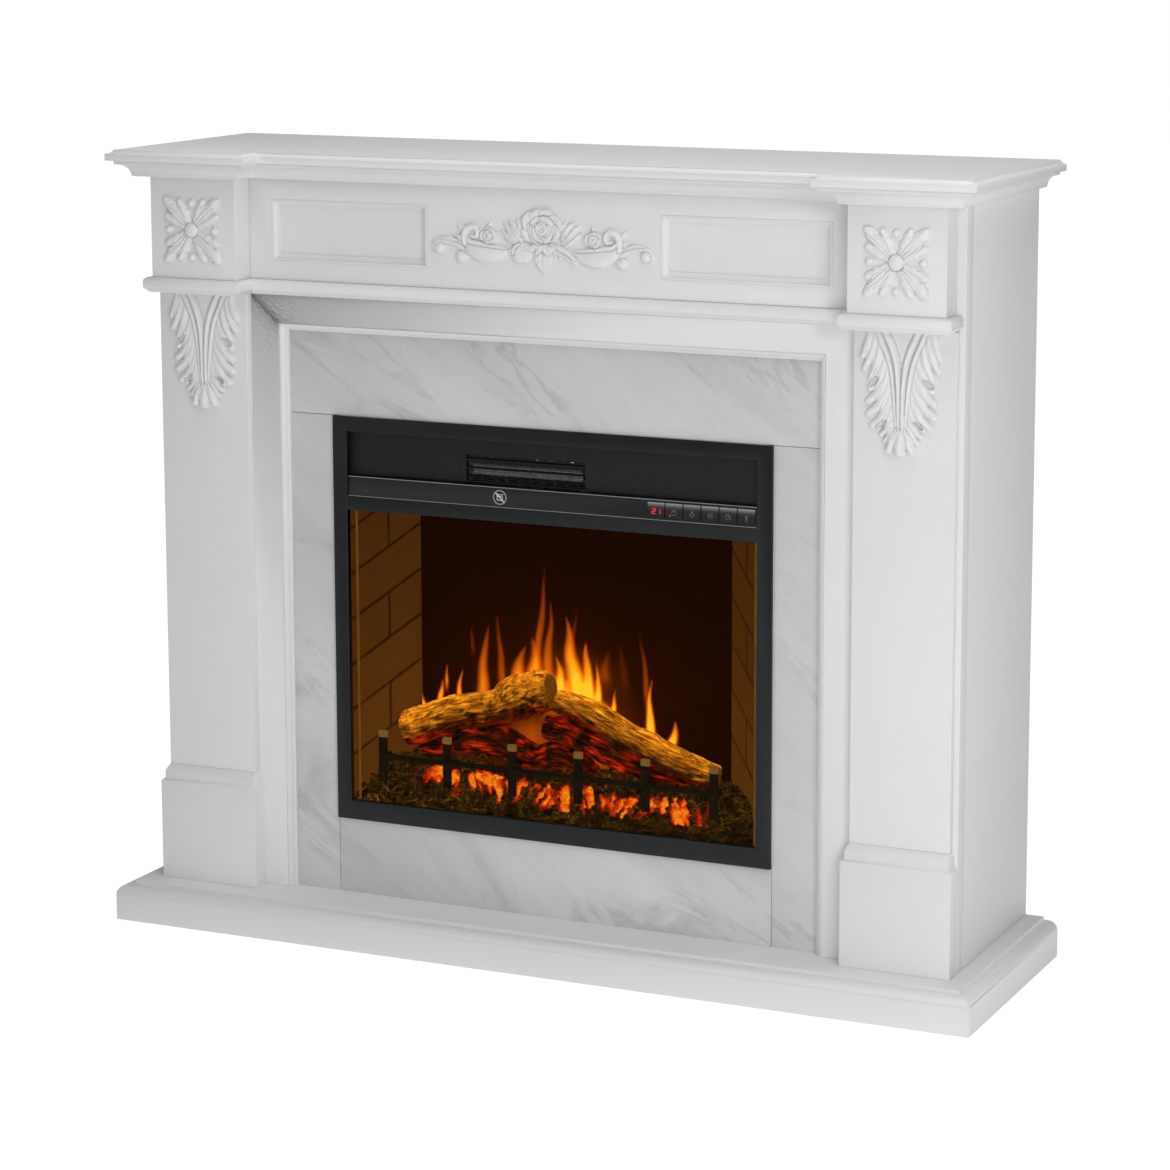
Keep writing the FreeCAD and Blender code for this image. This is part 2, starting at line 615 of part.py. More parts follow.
def front_frame():
    flange = box(-FRAME_HALF, FRAME_HALF, FRAME_FACE, CASE_FRONT, FRAME_BASE, FRAME_TOP_Z)
    neck_half = CASE_HALF - CASE_SHEET - FIT
    neck = box(-neck_half, neck_half, CASE_FRONT, GLASS_FACE, CASE_BOTTOM + CASE_SHEET + FIT,
               CASE_TOP - CASE_SHEET - FIT)
    mouth = box(-MOUTH_HALF, MOUTH_HALF, FRAME_FACE - 1, GLASS_FACE + 1, MOUTH_BOTTOM, MOUTH_TOP)
    bar = box(-MOUTH_HALF, MOUTH_HALF, FRAME_FACE + BAR_RECESS / 2, GLASS_FACE, GLASS_TOP, CONTROL_BOTTOM)
    parts["front_frame"] = fused([fused([flange, neck]).cut(mouth), bar])
    parts["glass_pane"] = box(-MOUTH_HALF - GLASS_EDGE, MOUTH_HALF + GLASS_EDGE, GLASS_FACE,
                              GLASS_FACE + GLASS_THICKNESS, MOUTH_BOTTOM - GLASS_EDGE, GLASS_TOP + GLASS_EDGE)


def grille():
    half = MOUTH_HALF + GLASS_EDGE
    top = MOUTH_TOP + GLASS_EDGE
    tray = box(-half, half, GLASS_FACE, GRILLE_FACE + GRILLE_SHEET, VENT_BOTTOM, top)
    hollow = box(-half + GRILLE_SHEET, half - GRILLE_SHEET, GLASS_FACE - 1, GRILLE_FACE,
                 VENT_BOTTOM + GRILLE_SHEET, top - GRILLE_SHEET)
    x0, x1, z0, z1 = outlet()
    window = box(x0, x1, GLASS_FACE - 1, GRILLE_FACE + 2, z0, z1)
    parts["vent_grille"] = tray.cut(hollow).cut(window)
    back = GRILLE_FACE + LOUVRE_DEPTH
    ring = box(x0, x1, GRILLE_FACE, back, z0, z1)
    w = OUTLET_FRAME
    ring = ring.cut(box(x0 + w, x1 - w, GRILLE_FACE - 1, back + 1, z0 + w / 2, z1 - w / 2))
    blades = []
    pitch = (z1 - z0) / (LOUVRE_BLADES + 1)
    for i in range(LOUVRE_BLADES):
        z = z0 + pitch * (i + 1)
        blade = box(x0 + w, x1 - w, GRILLE_FACE + 1, back - 1, z - LOUVRE_SHEET / 2, z + LOUVRE_SHEET / 2)
        blade.rotate(FreeCAD.Vector(0, (GRILLE_FACE + back) / 2, z), FreeCAD.Vector(1, 0, 0), LOUVRE_TILT)
        blades.append(blade)
    parts["outlet_louvre"] = fused([ring] + blades)


def outlet():
    x0 = OUTLET_OFFSET - OUTLET_WIDTH / 2
    z0 = VENT_BOTTOM + OUTLET_RISE
    return x0, x0 + OUTLET_WIDTH, z0, z0 + OUTLET_HEIGHT


def tile_places():
    last = MOUTH_HALF - TILE_END_MARGIN - TILE_WIDTH / 2
    pitch = TILE_WIDTH + TILE_GAP
    return [last - pitch * (TILE_COUNT - 1 - i) for i in range(TILE_COUNT)]


def controls():
    z = (CONTROL_BOTTOM + VENT_BOTTOM) / 2
    back = BAR_FACE + BAR_BOARD
    half = MOUTH_HALF - FIT
    bar = box(-half, half, BAR_FACE, back, CONTROL_BOTTOM, VENT_BOTTOM)
    board_face = BAR_FACE - TILE_PROUD + TILE_DEPTH + BUTTON_TRAVEL + SWITCH_GAP + SWITCH_HEIGHT
    places = tile_places()
    x0 = places[0] - (TILE_WIDTH + TILE_GAP) / 2 - TILE_FLANGE
    rib_room = (CONTROL_HEIGHT - TILE_HEIGHT) / 2 - TILE_FLANGE - TILE_CLEARANCE
    low_rib = box(x0, half, back, board_face, CONTROL_BOTTOM, CONTROL_BOTTOM + rib_room)
    top_rib = box(x0, half, back, board_face, VENT_BOTTOM - rib_room, VENT_BOTTOM)
    bar = fused([bar, low_rib, top_rib])
    pcb = [box(x0, half, board_face, board_face + CONTROL_PCB, CONTROL_BOTTOM, VENT_BOTTOM)]
    for i, x in enumerate(places):
        slot_x, slot_z = TILE_WIDTH / 2 + TILE_CLEARANCE, TILE_HEIGHT / 2 + TILE_CLEARANCE
        bar = bar.cut(box(x - slot_x, x + slot_x, BAR_FACE - 1, back + 1, z - slot_z, z + slot_z))
        face = BAR_FACE - TILE_PROUD
        cap = box(x - TILE_WIDTH / 2, x + TILE_WIDTH / 2, face, face + TILE_DEPTH, z - TILE_HEIGHT / 2,
                  z + TILE_HEIGHT / 2)
        fx, fz = TILE_WIDTH / 2 + TILE_FLANGE - TILE_CLEARANCE, TILE_HEIGHT / 2 + TILE_FLANGE
        flange = box(x - fx, x + fx, back, face + TILE_DEPTH, z - fz, z + fz)
        tile = fused([cap, flange])
        if i == 0:
            parts["display_lens"] = tile
        else:
            parts["button_" + BUTTON_NAMES[i - 1]] = tile
            pcb.append(box(x - SWITCH_SIZE / 2, x + SWITCH_SIZE / 2, board_face - SWITCH_HEIGHT, board_face,
                           z - SWITCH_SIZE / 2, z + SWITCH_SIZE / 2))
    parts["control_bar"] = bar
    parts["control_board"] = fused(pcb)


# ---------------------------------------------------------------- insert, case and firebox

def case():
    sheet = CASE_SHEET
    shell = box(-CASE_HALF, CASE_HALF, CASE_FRONT, CASE_BACK, CASE_BOTTOM, CASE_TOP)
    room = box(-CASE_HALF + sheet, CASE_HALF - sheet, CASE_FRONT - 1, CASE_BACK - sheet, CASE_BOTTOM + sheet,
               CASE_TOP - sheet)
    lip = CASE_LIP
    rear = box(-CASE_HALF + lip, CASE_HALF - lip, CASE_BACK - sheet - 1, CASE_BACK + 1, CASE_BOTTOM + lip,
               CASE_TOP - lip)
    divider = box(-CASE_HALF, CASE_HALF, FIREBOX_FRONT, CASE_BACK, DIVIDER, DIVIDER + sheet)
    cover = box(-CASE_HALF, CASE_HALF, CASE_BACK, CASE_BACK + BACK_COVER, CASE_BOTTOM, CASE_TOP)
    slot_z = (DIVIDER + CASE_TOP) / 2
    for i in range(COVER_SLOTS):
        x = (i - (COVER_SLOTS - 1) / 2) * COVER_SLOT_PITCH
        cover = cover.cut(box(x - COVER_SLOT_WIDTH / 2, x + COVER_SLOT_WIDTH / 2, CASE_BACK - 1,
                              CASE_BACK + BACK_COVER + 1, slot_z - COVER_SLOT_HEIGHT / 2,
                              slot_z + COVER_SLOT_HEIGHT / 2))
    body = fused([shell.cut(room).cut(rear), divider])
    gland_x = CASE_HALF - GLAND_FLANGE - CASE_LIP
    gland_y = CASE_BACK + BACK_COVER
    gland = fused([rod((gland_x, gland_y, slot_z), (0, 1, 0), GLAND_FLANGE / 2, GLAND_FLANGE_SHEET),
                   rod((gland_x, CASE_BACK, slot_z), (0, 1, 0), GLAND_DIAMETER / 2, GLAND_LENGTH)])
    parts["cable_gland"] = gland.cut(rod((gland_x, CASE_BACK - 1, slot_z), (0, 1, 0), GLAND_BORE / 2,
                                         GLAND_LENGTH + 2))
    cover = cover.cut(rod((gland_x, CASE_BACK - 1, slot_z), (0, 1, 0), GLAND_DIAMETER / 2, BACK_COVER + 2))
    screws = []
    edge = lip / 2
    for x in (-CASE_HALF + edge, 0, CASE_HALF - edge):
        for z in (CASE_BOTTOM + edge, CASE_TOP - edge):
            hole = rod((x, CASE_BACK - sheet - 1, z), (0, 1, 0), SCREW_SHANK / 2, sheet + BACK_COVER + 2)
            cover = cover.cut(hole)
            body = body.cut(hole)
            head_y = CASE_BACK + BACK_COVER
            head = rod((x, head_y, z), (0, 1, 0), SCREW_HEAD / 2, SCREW_HEAD_HEIGHT)
            shank = rod((x, head_y - SCREW_LENGTH, z), (0, 1, 0), SCREW_SHANK / 2, SCREW_LENGTH)
            screws.append(fused([head, shank]))
    parts["insert_case"] = body
    parts["insert_back_cover"] = cover
    parts["cover_screws"] = group(screws)
    board_back = FACE_BACK + SURROUND_BOARD
    middle = (CASE_BOTTOM + CASE_TOP) / 2
    z0, z1 = middle - BRACKET_HEIGHT / 2, middle + BRACKET_HEIGHT / 2
    bracket = fused([box(CASE_HALF, CASE_HALF + BRACKET_LEG, board_back, board_back + BRACKET_SHEET, z0, z1),
                     box(CASE_HALF, CASE_HALF + BRACKET_SHEET, board_back, board_back + BRACKET_LEG, z0, z1)])
    parts["insert_brackets"] = group([bracket, mirrored(bracket)])


def firebox():
    low, high = FIREBOX_FLOOR, DIVIDER
    back = SCREEN_FACE
    run = math.hypot(FIREBOX_SPLAY, FIREBOX_DEPTH)
    step = (BRICK_BOARD * FIREBOX_DEPTH / run, BRICK_BOARD * FIREBOX_SPLAY / run)
    wall = [(FIREBOX_HALF - step[0], FIREBOX_FRONT), (SCREEN_HALF, back), (SCREEN_HALF + 2 * step[0], back),
            (FIREBOX_HALF, FIREBOX_FRONT + 2 * step[1])]
    brick = prism(wall, low, high)
    parts["brick_panel_right"] = brick
    parts["brick_panel_left"] = mirrored(brick)
    parts["flame_screen"] = box(-SCREEN_HALF, SCREEN_HALF, back, back + SCREEN_THICKNESS, low, high)
    inner = FIREBOX_HALF - step[0]
    plan = [(-inner, FIREBOX_FRONT), (inner, FIREBOX_FRONT), (SCREEN_HALF, back), (-SCREEN_HALF, back)]
    profile = [(FIREBOX_FRONT, low), (back, low), (back, low + EMBER_HEIGHT),
               (FIREBOX_FRONT + EMBER_RAMP, low + EMBER_HEIGHT - 6), (FIREBOX_FRONT, low + EMBER_FRONT)]
    ring = [FreeCAD.Vector(-inner - 1, y, z) for y, z in profile]
    ramp = Part.Face(Part.makePolygon(ring + ring[:1])).extrude(FreeCAD.Vector(2 * inner + 2, 0, 0))
    bed = prism(plan, low, high).common(ramp)
    grate = fire_grate(low)
    bed = bed.cut(grate)
    middle = FUEL_OFFSET
    y = FIREBOX_FRONT + FIREBOX_DEPTH * LOG_PLACE
    foot_y = y - LOG_FORWARD
    left = log((-LOG_REACH, foot_y, low + LOG_LEFT_FOOT), (middle, y, low + LOG_LEFT_TIP), LOG_LEFT_DIAMETER)
    right = log((LOG_REACH + middle / 2, foot_y, low + LOG_RIGHT_FOOT), (middle, y, low + LOG_RIGHT_TIP),
                LOG_RIGHT_DIAMETER)
    right = right.cut(left).cut(bed)
    r = EMBER_LOG_DIAMETER / 2
    bed_top = low + EMBER_HEIGHT + r * 0.8
    reach = EMBER_LOG_REACH
    lower_left = log((middle - reach, y, bed_top), (middle, y - 4, bed_top + r / 2), EMBER_LOG_DIAMETER)
    lower_right = log((middle - r, y, bed_top + r * 1.6), (middle + reach, y, bed_top - 4), EMBER_LOG_DIAMETER)
    lower = fused([lower_left, lower_right])
    lower = lower.cut(bed).cut(left).cut(right).cut(grate)
    parts["ember_bed"] = bed
    parts["fire_grate"] = grate
    parts["log_left"] = left
    parts["log_right"] = right
    parts["ember_logs"] = lower


def fire_grate(low):
    y0 = FIREBOX_FRONT + GRATE_STANDOFF
    y1 = y0 + GRATE_BAR_DEPTH
    z0 = low + GRATE_RISE
    z1 = z0 + GRATE_BAR_HEIGHT
    half_width = GRATE_WIDTH / 2
    shapes = [box(FUEL_OFFSET - half_width, FUEL_OFFSET + half_width, y0, y1, z0, z1)]
    span = GRATE_WIDTH - GRATE_POST_WIDTH
    for i in range(GRATE_POSTS):
        x = FUEL_OFFSET - span / 2 + span * i / (GRATE_POSTS - 1)
        half = GRATE_POST_WIDTH / 2
        shapes.append(box(x - half, x + half, y0, y1, z0 - GRATE_POST_DOWN, z1 + GRATE_POST_UP))
        shapes.append(box(x - half, x + half, y0, y0 + GRATE_ARM, z0, z1))
    return fused(shapes)


def log(start, end, diameter):
    a, b = FreeCAD.Vector(*start), FreeCAD.Vector(*end)
    return Part.makeCone(diameter / 2 * 1.08, diameter / 2 * 0.92, (b - a).Length, a, b - a)


# ---------------------------------------------------------------- insert, flame drive

def flame_drive():
    y = SCREEN_FACE + SCREEN_THICKNESS + SPINDLE_BEHIND_SCREEN
    z = FIREBOX_FLOOR + SPINDLE_RISE
    wall = CASE_HALF - CASE_SHEET
    end = wall - FIT
    axle = rod((-end, y, z), (1, 0, 0), SPINDLE_ROD / 2, 2 * end)
    fin_end = wall - SPINDLE_END_GAP
    shapes = [axle]
    count = int((2 * fin_end + SPINDLE_FIN_GAP) // (SPINDLE_FIN_LENGTH + SPINDLE_FIN_GAP))
    pitch = 2 * fin_end / count
    for k in range(count):
        x0 = -fin_end + pitch * k + SPINDLE_FIN_GAP / 2
        for i in range(SPINDLE_FINS // 2):
            fin = box(x0, x0 + pitch - SPINDLE_FIN_GAP, y - SPINDLE_FIN_SHEET / 2, y + SPINDLE_FIN_SHEET / 2,
                      z - SPINDLE_DIAMETER / 2, z + SPINDLE_DIAMETER / 2)
            fin.rotate(FreeCAD.Vector(0, y, z), FreeCAD.Vector(1, 0, 0), 360 / SPINDLE_FINS * i + 20 * k)
            shapes.append(fin)
    parts["flame_spindle"] = fused(shapes)
    bore = SPINDLE_ROD / 2 + BORE_CLEARANCE
    hole = rod((-wall - 1, y, z), (1, 0, 0), bore, 2 * wall + 2)
    bush = rod((-wall, y, z), (1, 0, 0), BEARING_DIAMETER / 2, BEARING_LENGTH).cut(hole)
    parts["spindle_bearing"] = bush
    motor = rod((wall - MOTOR_LENGTH, y, z), (1, 0, 0), MOTOR_DIAMETER / 2, MOTOR_LENGTH)
    parts["spindle_motor"] = motor.cut(hole)
    low = FIREBOX_FLOOR
    half = SCREEN_HALF - SPINDLE_END_GAP
    board = box(-half, half, y - LED_BOARD_DEPTH / 2, y + LED_BOARD_DEPTH / 2, low, low + LED_BOARD)
    leds = [board]
    for i in range(LED_COUNT):
        x = -half + 2 * half * (i + 0.5) / LED_COUNT
        leds.append(box(x - LED_SIZE / 2, x + LED_SIZE / 2, y - LED_SIZE / 2, y + LED_SIZE / 2,
                        low + LED_BOARD, low + 2 * LED_BOARD))
    parts["led_board"] = fused(leds)


# ---------------------------------------------------------------- insert, blower and heater

def blower():
    x0, x1, z0, z1 = outlet()
    z = (z0 + z1) / 2
    duct_front = GRILLE_FACE + LOUVRE_DEPTH
    heater_front = duct_front + HEATER_GAP
    heater_back = heater_front + HEATER_DEPTH
    s = DUCT_SHEET
    fan_r = FAN_DIAMETER / 2
    room_r = fan_r + FAN_CLEARANCE
    y = heater_back + HEATER_GAP + room_r
    drum = rod((x0, y, z), (1, 0, 0), room_r + s, x1 - x0)
    duct = box(x0, x1, duct_front, y, z0, z1)
    room = rod((x0 + s, y, z), (1, 0, 0), room_r, x1 - x0 - 2 * s)
    throat = box(x0 + s, x1 - s, duct_front - 1, y, z0 + s, z1 - s)
    intake = box(x0 + s, x1 - s, y, y + 2 * room_r, z - room_r * 0.7, z + room_r * 0.7)
    bore = FAN_HUB / 2 + BORE_CLEARANCE
    hole = rod((x0 - 1, y, z), (1, 0, 0), bore, x1 - x0 + 2)
    foot = box(x0, x1, y - FAN_HUB, y + FAN_HUB, DIVIDER + CASE_SHEET, z - room_r)
    housing = fused([drum, duct, foot]).cut(room).cut(throat).cut(intake).cut(hole)
    parts["fan_housing"] = housing
    heater = box(x0 + s, x1 - s, heater_front, heater_back, z0 + s, z1 - s)
    cells = []
    w, h = x1 - x0 - 2 * s, z1 - z0 - 2 * s
    columns, rows = int(w // (HEATER_CELL * 2)), int(h // HEATER_CELL)
    for i in range(columns):
        for j in range(rows):
            cx = x0 + s + w * (i + 0.5) / columns
            cz = z0 + s + h * (j + 0.5) / rows
            dx, dz = w / columns / 2 - HEATER_WALL / 2, h / rows / 2 - HEATER_WALL / 2
            cells.append(box(cx - dx, cx + dx, heater_front - 1, heater_back + 1, cz - dz, cz + dz))
    parts["ptc_heater"] = heater.cut(group(cells))
    inner0, inner1 = x0 + s + FAN_DISC, x1 - s - FAN_DISC
    disc_places = (inner0, (inner0 + inner1) / 2, inner1 - FAN_DISC)
    discs = [rod((place, y, z), (1, 0, 0), fan_r, FAN_DISC) for place in disc_places]
    shaft = rod((x0 - FAN_DISC, y, z), (1, 0, 0), FAN_HUB / 2, x1 - x0 + FAN_DISC + FAN_MOTOR_LENGTH / 2)
    blades = []
    for i in range(FAN_BLADES):
        blade = box(inner0, inner1, y - FAN_BLADE_SHEET / 2, y + FAN_BLADE_SHEET / 2,
                    z + fan_r - FAN_BLADE_DEPTH, z + fan_r - FIT)
        blade.rotate(FreeCAD.Vector(0, y, z + fan_r), FreeCAD.Vector(1, 0, 0), 30)
        blade.rotate(FreeCAD.Vector(0, y, z), FreeCAD.Vector(1, 0, 0), 360 * i / FAN_BLADES)
        blades.append(blade)
    parts["fan_wheel"] = fused([shaft] + discs + blades)
    motor = rod((x1, y, z), (1, 0, 0), FAN_MOTOR_DIAMETER / 2, FAN_MOTOR_LENGTH)
    motor_hole = rod((x1 - 1, y, z), (1, 0, 0), bore, FAN_MOTOR_LENGTH / 2 + FAN_CLEARANCE)
    parts["fan_motor"] = motor.cut(motor_hole)


base()
shelf_and_cornice()
band()
frieze()
casing_and_bead()
legs()
appliques()
marble()
front_frame()
grille()
controls()
case()
firebox()
flame_drive()
blower()

os.makedirs("parts", exist_ok=True)
for name, shape in parts.items():
    shape.exportStep("parts/" + name + ".step")
    print(name, len(shape.Solids), round(shape.Volume / 1000, 1), shape.isValid())
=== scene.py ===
import bpy, bmesh, math, random
import numpy as np
from mathutils import Matrix, Vector, noise


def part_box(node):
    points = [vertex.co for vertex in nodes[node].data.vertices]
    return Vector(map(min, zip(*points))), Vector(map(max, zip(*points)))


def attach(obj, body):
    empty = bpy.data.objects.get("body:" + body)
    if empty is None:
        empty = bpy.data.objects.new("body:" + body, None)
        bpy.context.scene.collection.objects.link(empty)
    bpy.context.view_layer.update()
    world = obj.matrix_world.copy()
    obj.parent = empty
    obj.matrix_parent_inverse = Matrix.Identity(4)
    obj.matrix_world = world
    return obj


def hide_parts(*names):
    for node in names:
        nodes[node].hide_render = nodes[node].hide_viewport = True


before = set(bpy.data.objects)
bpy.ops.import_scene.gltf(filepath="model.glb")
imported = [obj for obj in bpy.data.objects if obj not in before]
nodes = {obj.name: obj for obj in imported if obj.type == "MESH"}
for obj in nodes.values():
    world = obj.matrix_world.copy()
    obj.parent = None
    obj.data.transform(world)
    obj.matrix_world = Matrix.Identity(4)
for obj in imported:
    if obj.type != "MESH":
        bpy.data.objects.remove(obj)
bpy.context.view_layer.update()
print("frame loaded:", len(nodes), "nodes")

mm = 0.001

camera = {
    "place": (1.8268, -3.8954, 1.3334),
    "turn": 23.99,      # degrees round Z
    "tilt": 9.48,       # degrees down
    "lens": 106.9,
    "shift": (-0.0513, -0.1026),
}

studio = {
    "backdrop": (1.0, 1.0, 1.0),
    "ambient": 0.18,            # world light on the object
    "floor": (0.80, 0.80, 0.80),
    "floorGlow": 0.25,          # light the floor gives the object
    # name: (place, looks at, width, height, watts, colour)
    "lamps": {
        "keyLamp": ((2.5, -2.1, 1.7), (0.2, 0.0, 0.45), 0.6, 0.6, 17, (1.0, 1.0, 0.995)),
        "lowLamp": ((1.5, -2.3, 0.25), (0.4, 0.0, 0.10), 1.1, 1.1, 19, (1.0, 1.0, 1.0)),
        "frontLamp": ((0.5, -1.4, 2.5), (0.0, -0.15, 0.1), 1.3, 1.3, 10, (1.0, 1.0, 1.0)),
        "fillLamp": ((-2.6, -2.2, 1.9), (0.0, 0.0, 0.6), 2.0, 2.0, 4, (0.98, 0.99, 1.0)),
        "topLamp": ((0.3, 0.2, 3.2), (0.0, 0.0, 1.0), 2.2, 2.2, 34, (1.0, 1.0, 1.0)),
        "sideLamp": ((3.2, 0.9, 1.1), (0.5, 0.1, 0.5), 1.6, 1.6, 5, (1.0, 1.0, 1.0)),
    },
}


def makeCamera(c):
    data = bpy.data.cameras.new("studioCamera")
    data.lens = c["lens"]
    data.shift_x, data.shift_y = c["shift"]
    data.clip_end = 60
    cam = bpy.data.objects.new("studioCamera", data)
    cam.location = c["place"]
    cam.rotation_euler = (math.radians(90 - c["tilt"]), 0, math.radians(c["turn"]))
    bpy.context.scene.collection.objects.link(cam)
    bpy.context.scene.camera = cam


# nodes and materials

def addNode(tree, kind, inputs=None, **props):
    n = tree.nodes.new(kind)
    for key, value in props.items():
        setattr(n, key, value)
    for key, value in (inputs or {}).items():
        if isinstance(value, bpy.types.NodeSocket):
            tree.links.new(value, n.inputs[key])
        elif isinstance(value, bpy.types.Material) or isinstance(value, bpy.types.Object):
            n.inputs[key].default_value = value
        else:
            if isinstance(value, tuple) and len(value) == 3 and n.inputs[key].type == "RGBA":
                value = value + (1.0,)
            n.inputs[key].default_value = value
    return n


def mathNode(tree, operation, a, b=0.5, c=0.5, clamp=False):
    n = addNode(tree, "ShaderNodeMath", operation=operation, use_clamp=clamp)
    for i, value in enumerate((a, b, c)):
        if isinstance(value, bpy.types.NodeSocket):
            tree.links.new(value, n.inputs[i])
        else:
            n.inputs[i].default_value = value
    return n.outputs[0]


def mixColour(tree, factor, a, b, blend="MIX"):
    n = addNode(tree, "ShaderNodeMix", data_type="RGBA", blend_type=blend)
    for index, value in ((0, factor), (6, a), (7, b)):
        if isinstance(value, bpy.types.NodeSocket):
            tree.links.new(value, n.inputs[index])
        else:
            n.inputs[index].default_value = value + (1.0,) if isinstance(value, tuple) else value
    return n.outputs[2]


def ramp(tree, factor, stops):
    n = addNode(tree, "ShaderNodeValToRGB", {"Fac": factor})
    band = n.color_ramp
    while len(band.elements) < len(stops):
        band.elements.new(0.5)
    for element, (place, colour) in zip(band.elements, stops):
        element.position = place
        colour = (colour,) * 3 if isinstance(colour, (int, float)) else colour
        element.color = colour + (1.0,)
    return n.outputs["Color"]


def objectPoint(tree, scale=(1, 1, 1), turn=(0, 0, 0), shift=(0, 0, 0)):
    point = addNode(tree, "ShaderNodeTexCoord").outputs["Object"]
    return addNode(tree, "ShaderNodeMapping", {"Vector": point, "Scale": scale, "Rotation": turn, "Location": shift}).outputs[0]


def noiseOf(tree, vector, scale, detail=3.0, rough=0.55, distortion=0.0):
    n = addNode(tree, "ShaderNodeTexNoise", {"Vector": vector, "Scale": scale, "Detail": detail,
                                             "Roughness": rough, "Distortion": distortion})
    return n.outputs["Fac"]


def newGroup(name, inputs, outputs):
    group = bpy.data.node_groups.new(name, "ShaderNodeTree")
    for label, kind, default in inputs:
        socket = group.interface.new_socket(label, in_out="INPUT", socket_type=kind)
        socket.default_value = default
    for label, kind in outputs:
        group.interface.new_socket(label, in_out="OUTPUT", socket_type=kind)
    return group, group.nodes.new("NodeGroupInput"), group.nodes.new("NodeGroupOutput")


def makeFinishGroup():
    """colour drift, worn or dusty patches, rough drift and fine grain"""
    number, shade = "NodeSocketFloat", "NodeSocketColor"
    group, given, out = newGroup("surfaceFinish", [
        ("Colour", shade, (0.8, 0.8, 0.8, 1)), ("Second Colour", shade, (0.7, 0.7, 0.7, 1)),
        ("Drift Scale", number, 6.0), ("Drift Amount", number, 0.5),
        ("Grain Scale", number, 900.0), ("Grain Height", number, 0.1),
        ("Wave Scale", number, 60.0), ("Wave Height", number, 0.1),
        ("Rough Low", number, 0.35), ("Rough High", number, 0.5)],
        [("Colour", shade), ("Roughness", number), ("Normal", "NodeSocketVector"), ("Patches", number)])
    point = objectPoint(group)
    drift = noiseOf(group, point, given.outputs["Drift Scale"], 4.0, 0.6)
    patches = addNode(group, "ShaderNodeMapRange", {"Value": drift, "From Min": 0.35, "From Max": 0.65}).outputs[0]
    amount = mathNode(group, "MULTIPLY", patches, given.outputs["Drift Amount"])
    colour = mixColour(group, amount, given.outputs["Colour"], given.outputs["Second Colour"])
    fine = noiseOf(group, point, given.outputs["Grain Scale"], 2.0, 0.5)
    wave = noiseOf(group, point, given.outputs["Wave Scale"], 2.0, 0.5)
    rough = mixRange(group, mathNode(group, "MULTIPLY_ADD", fine, 0.4, mathNode(group, "MULTIPLY", patches, 0.6)),
                     given.outputs["Rough Low"], given.outputs["Rough High"])
    height = mathNode(group, "ADD", mathNode(group, "MULTIPLY", fine, given.outputs["Grain Height"]),
                      mathNode(group, "MULTIPLY", wave, given.outputs["Wave Height"]))
    bump = addNode(group, "ShaderNodeBump", {"Height": height, "Strength": 1.0, "Distance": mm}).outputs[0]
    for label, socket in (("Colour", colour), ("Roughness", rough), ("Normal", bump), ("Patches", patches)):
        group.links.new(socket, out.inputs[label])
    return group


def mixRange(tree, factor, low, high):
    n = addNode(tree, "ShaderNodeMapRange", {"Value": factor, "To Min": low, "To Max": high})
    return n.outputs[0]


finishGroup = makeFinishGroup()


def newMaterial(name, shader=None, finish=None):
    mat = bpy.data.materials.new(name)
    mat.use_nodes = True
    tree = mat.node_tree
    tree.nodes.clear()
    out = tree.nodes.new("ShaderNodeOutputMaterial")
    bsdf = addNode(tree, "ShaderNodeBsdfPrincipled", shader)
    tree.links.new(bsdf.outputs[0], out.inputs[0])
    group = None
    if finish is not None:
        group = addNode(tree, "ShaderNodeGroup", node_tree=finishGroup)
        for key, value in finish.items():
            if isinstance(value, tuple):
                value = value + (1.0,)
            group.inputs[key].default_value = value
        tree.links.new(group.outputs["Colour"], bsdf.inputs["Base Color"])
        tree.links.new(group.outputs["Roughness"], bsdf.inputs["Roughness"])
        tree.links.new(group.outputs["Normal"], bsdf.inputs["Normal"])
    return mat, tree, bsdf, group


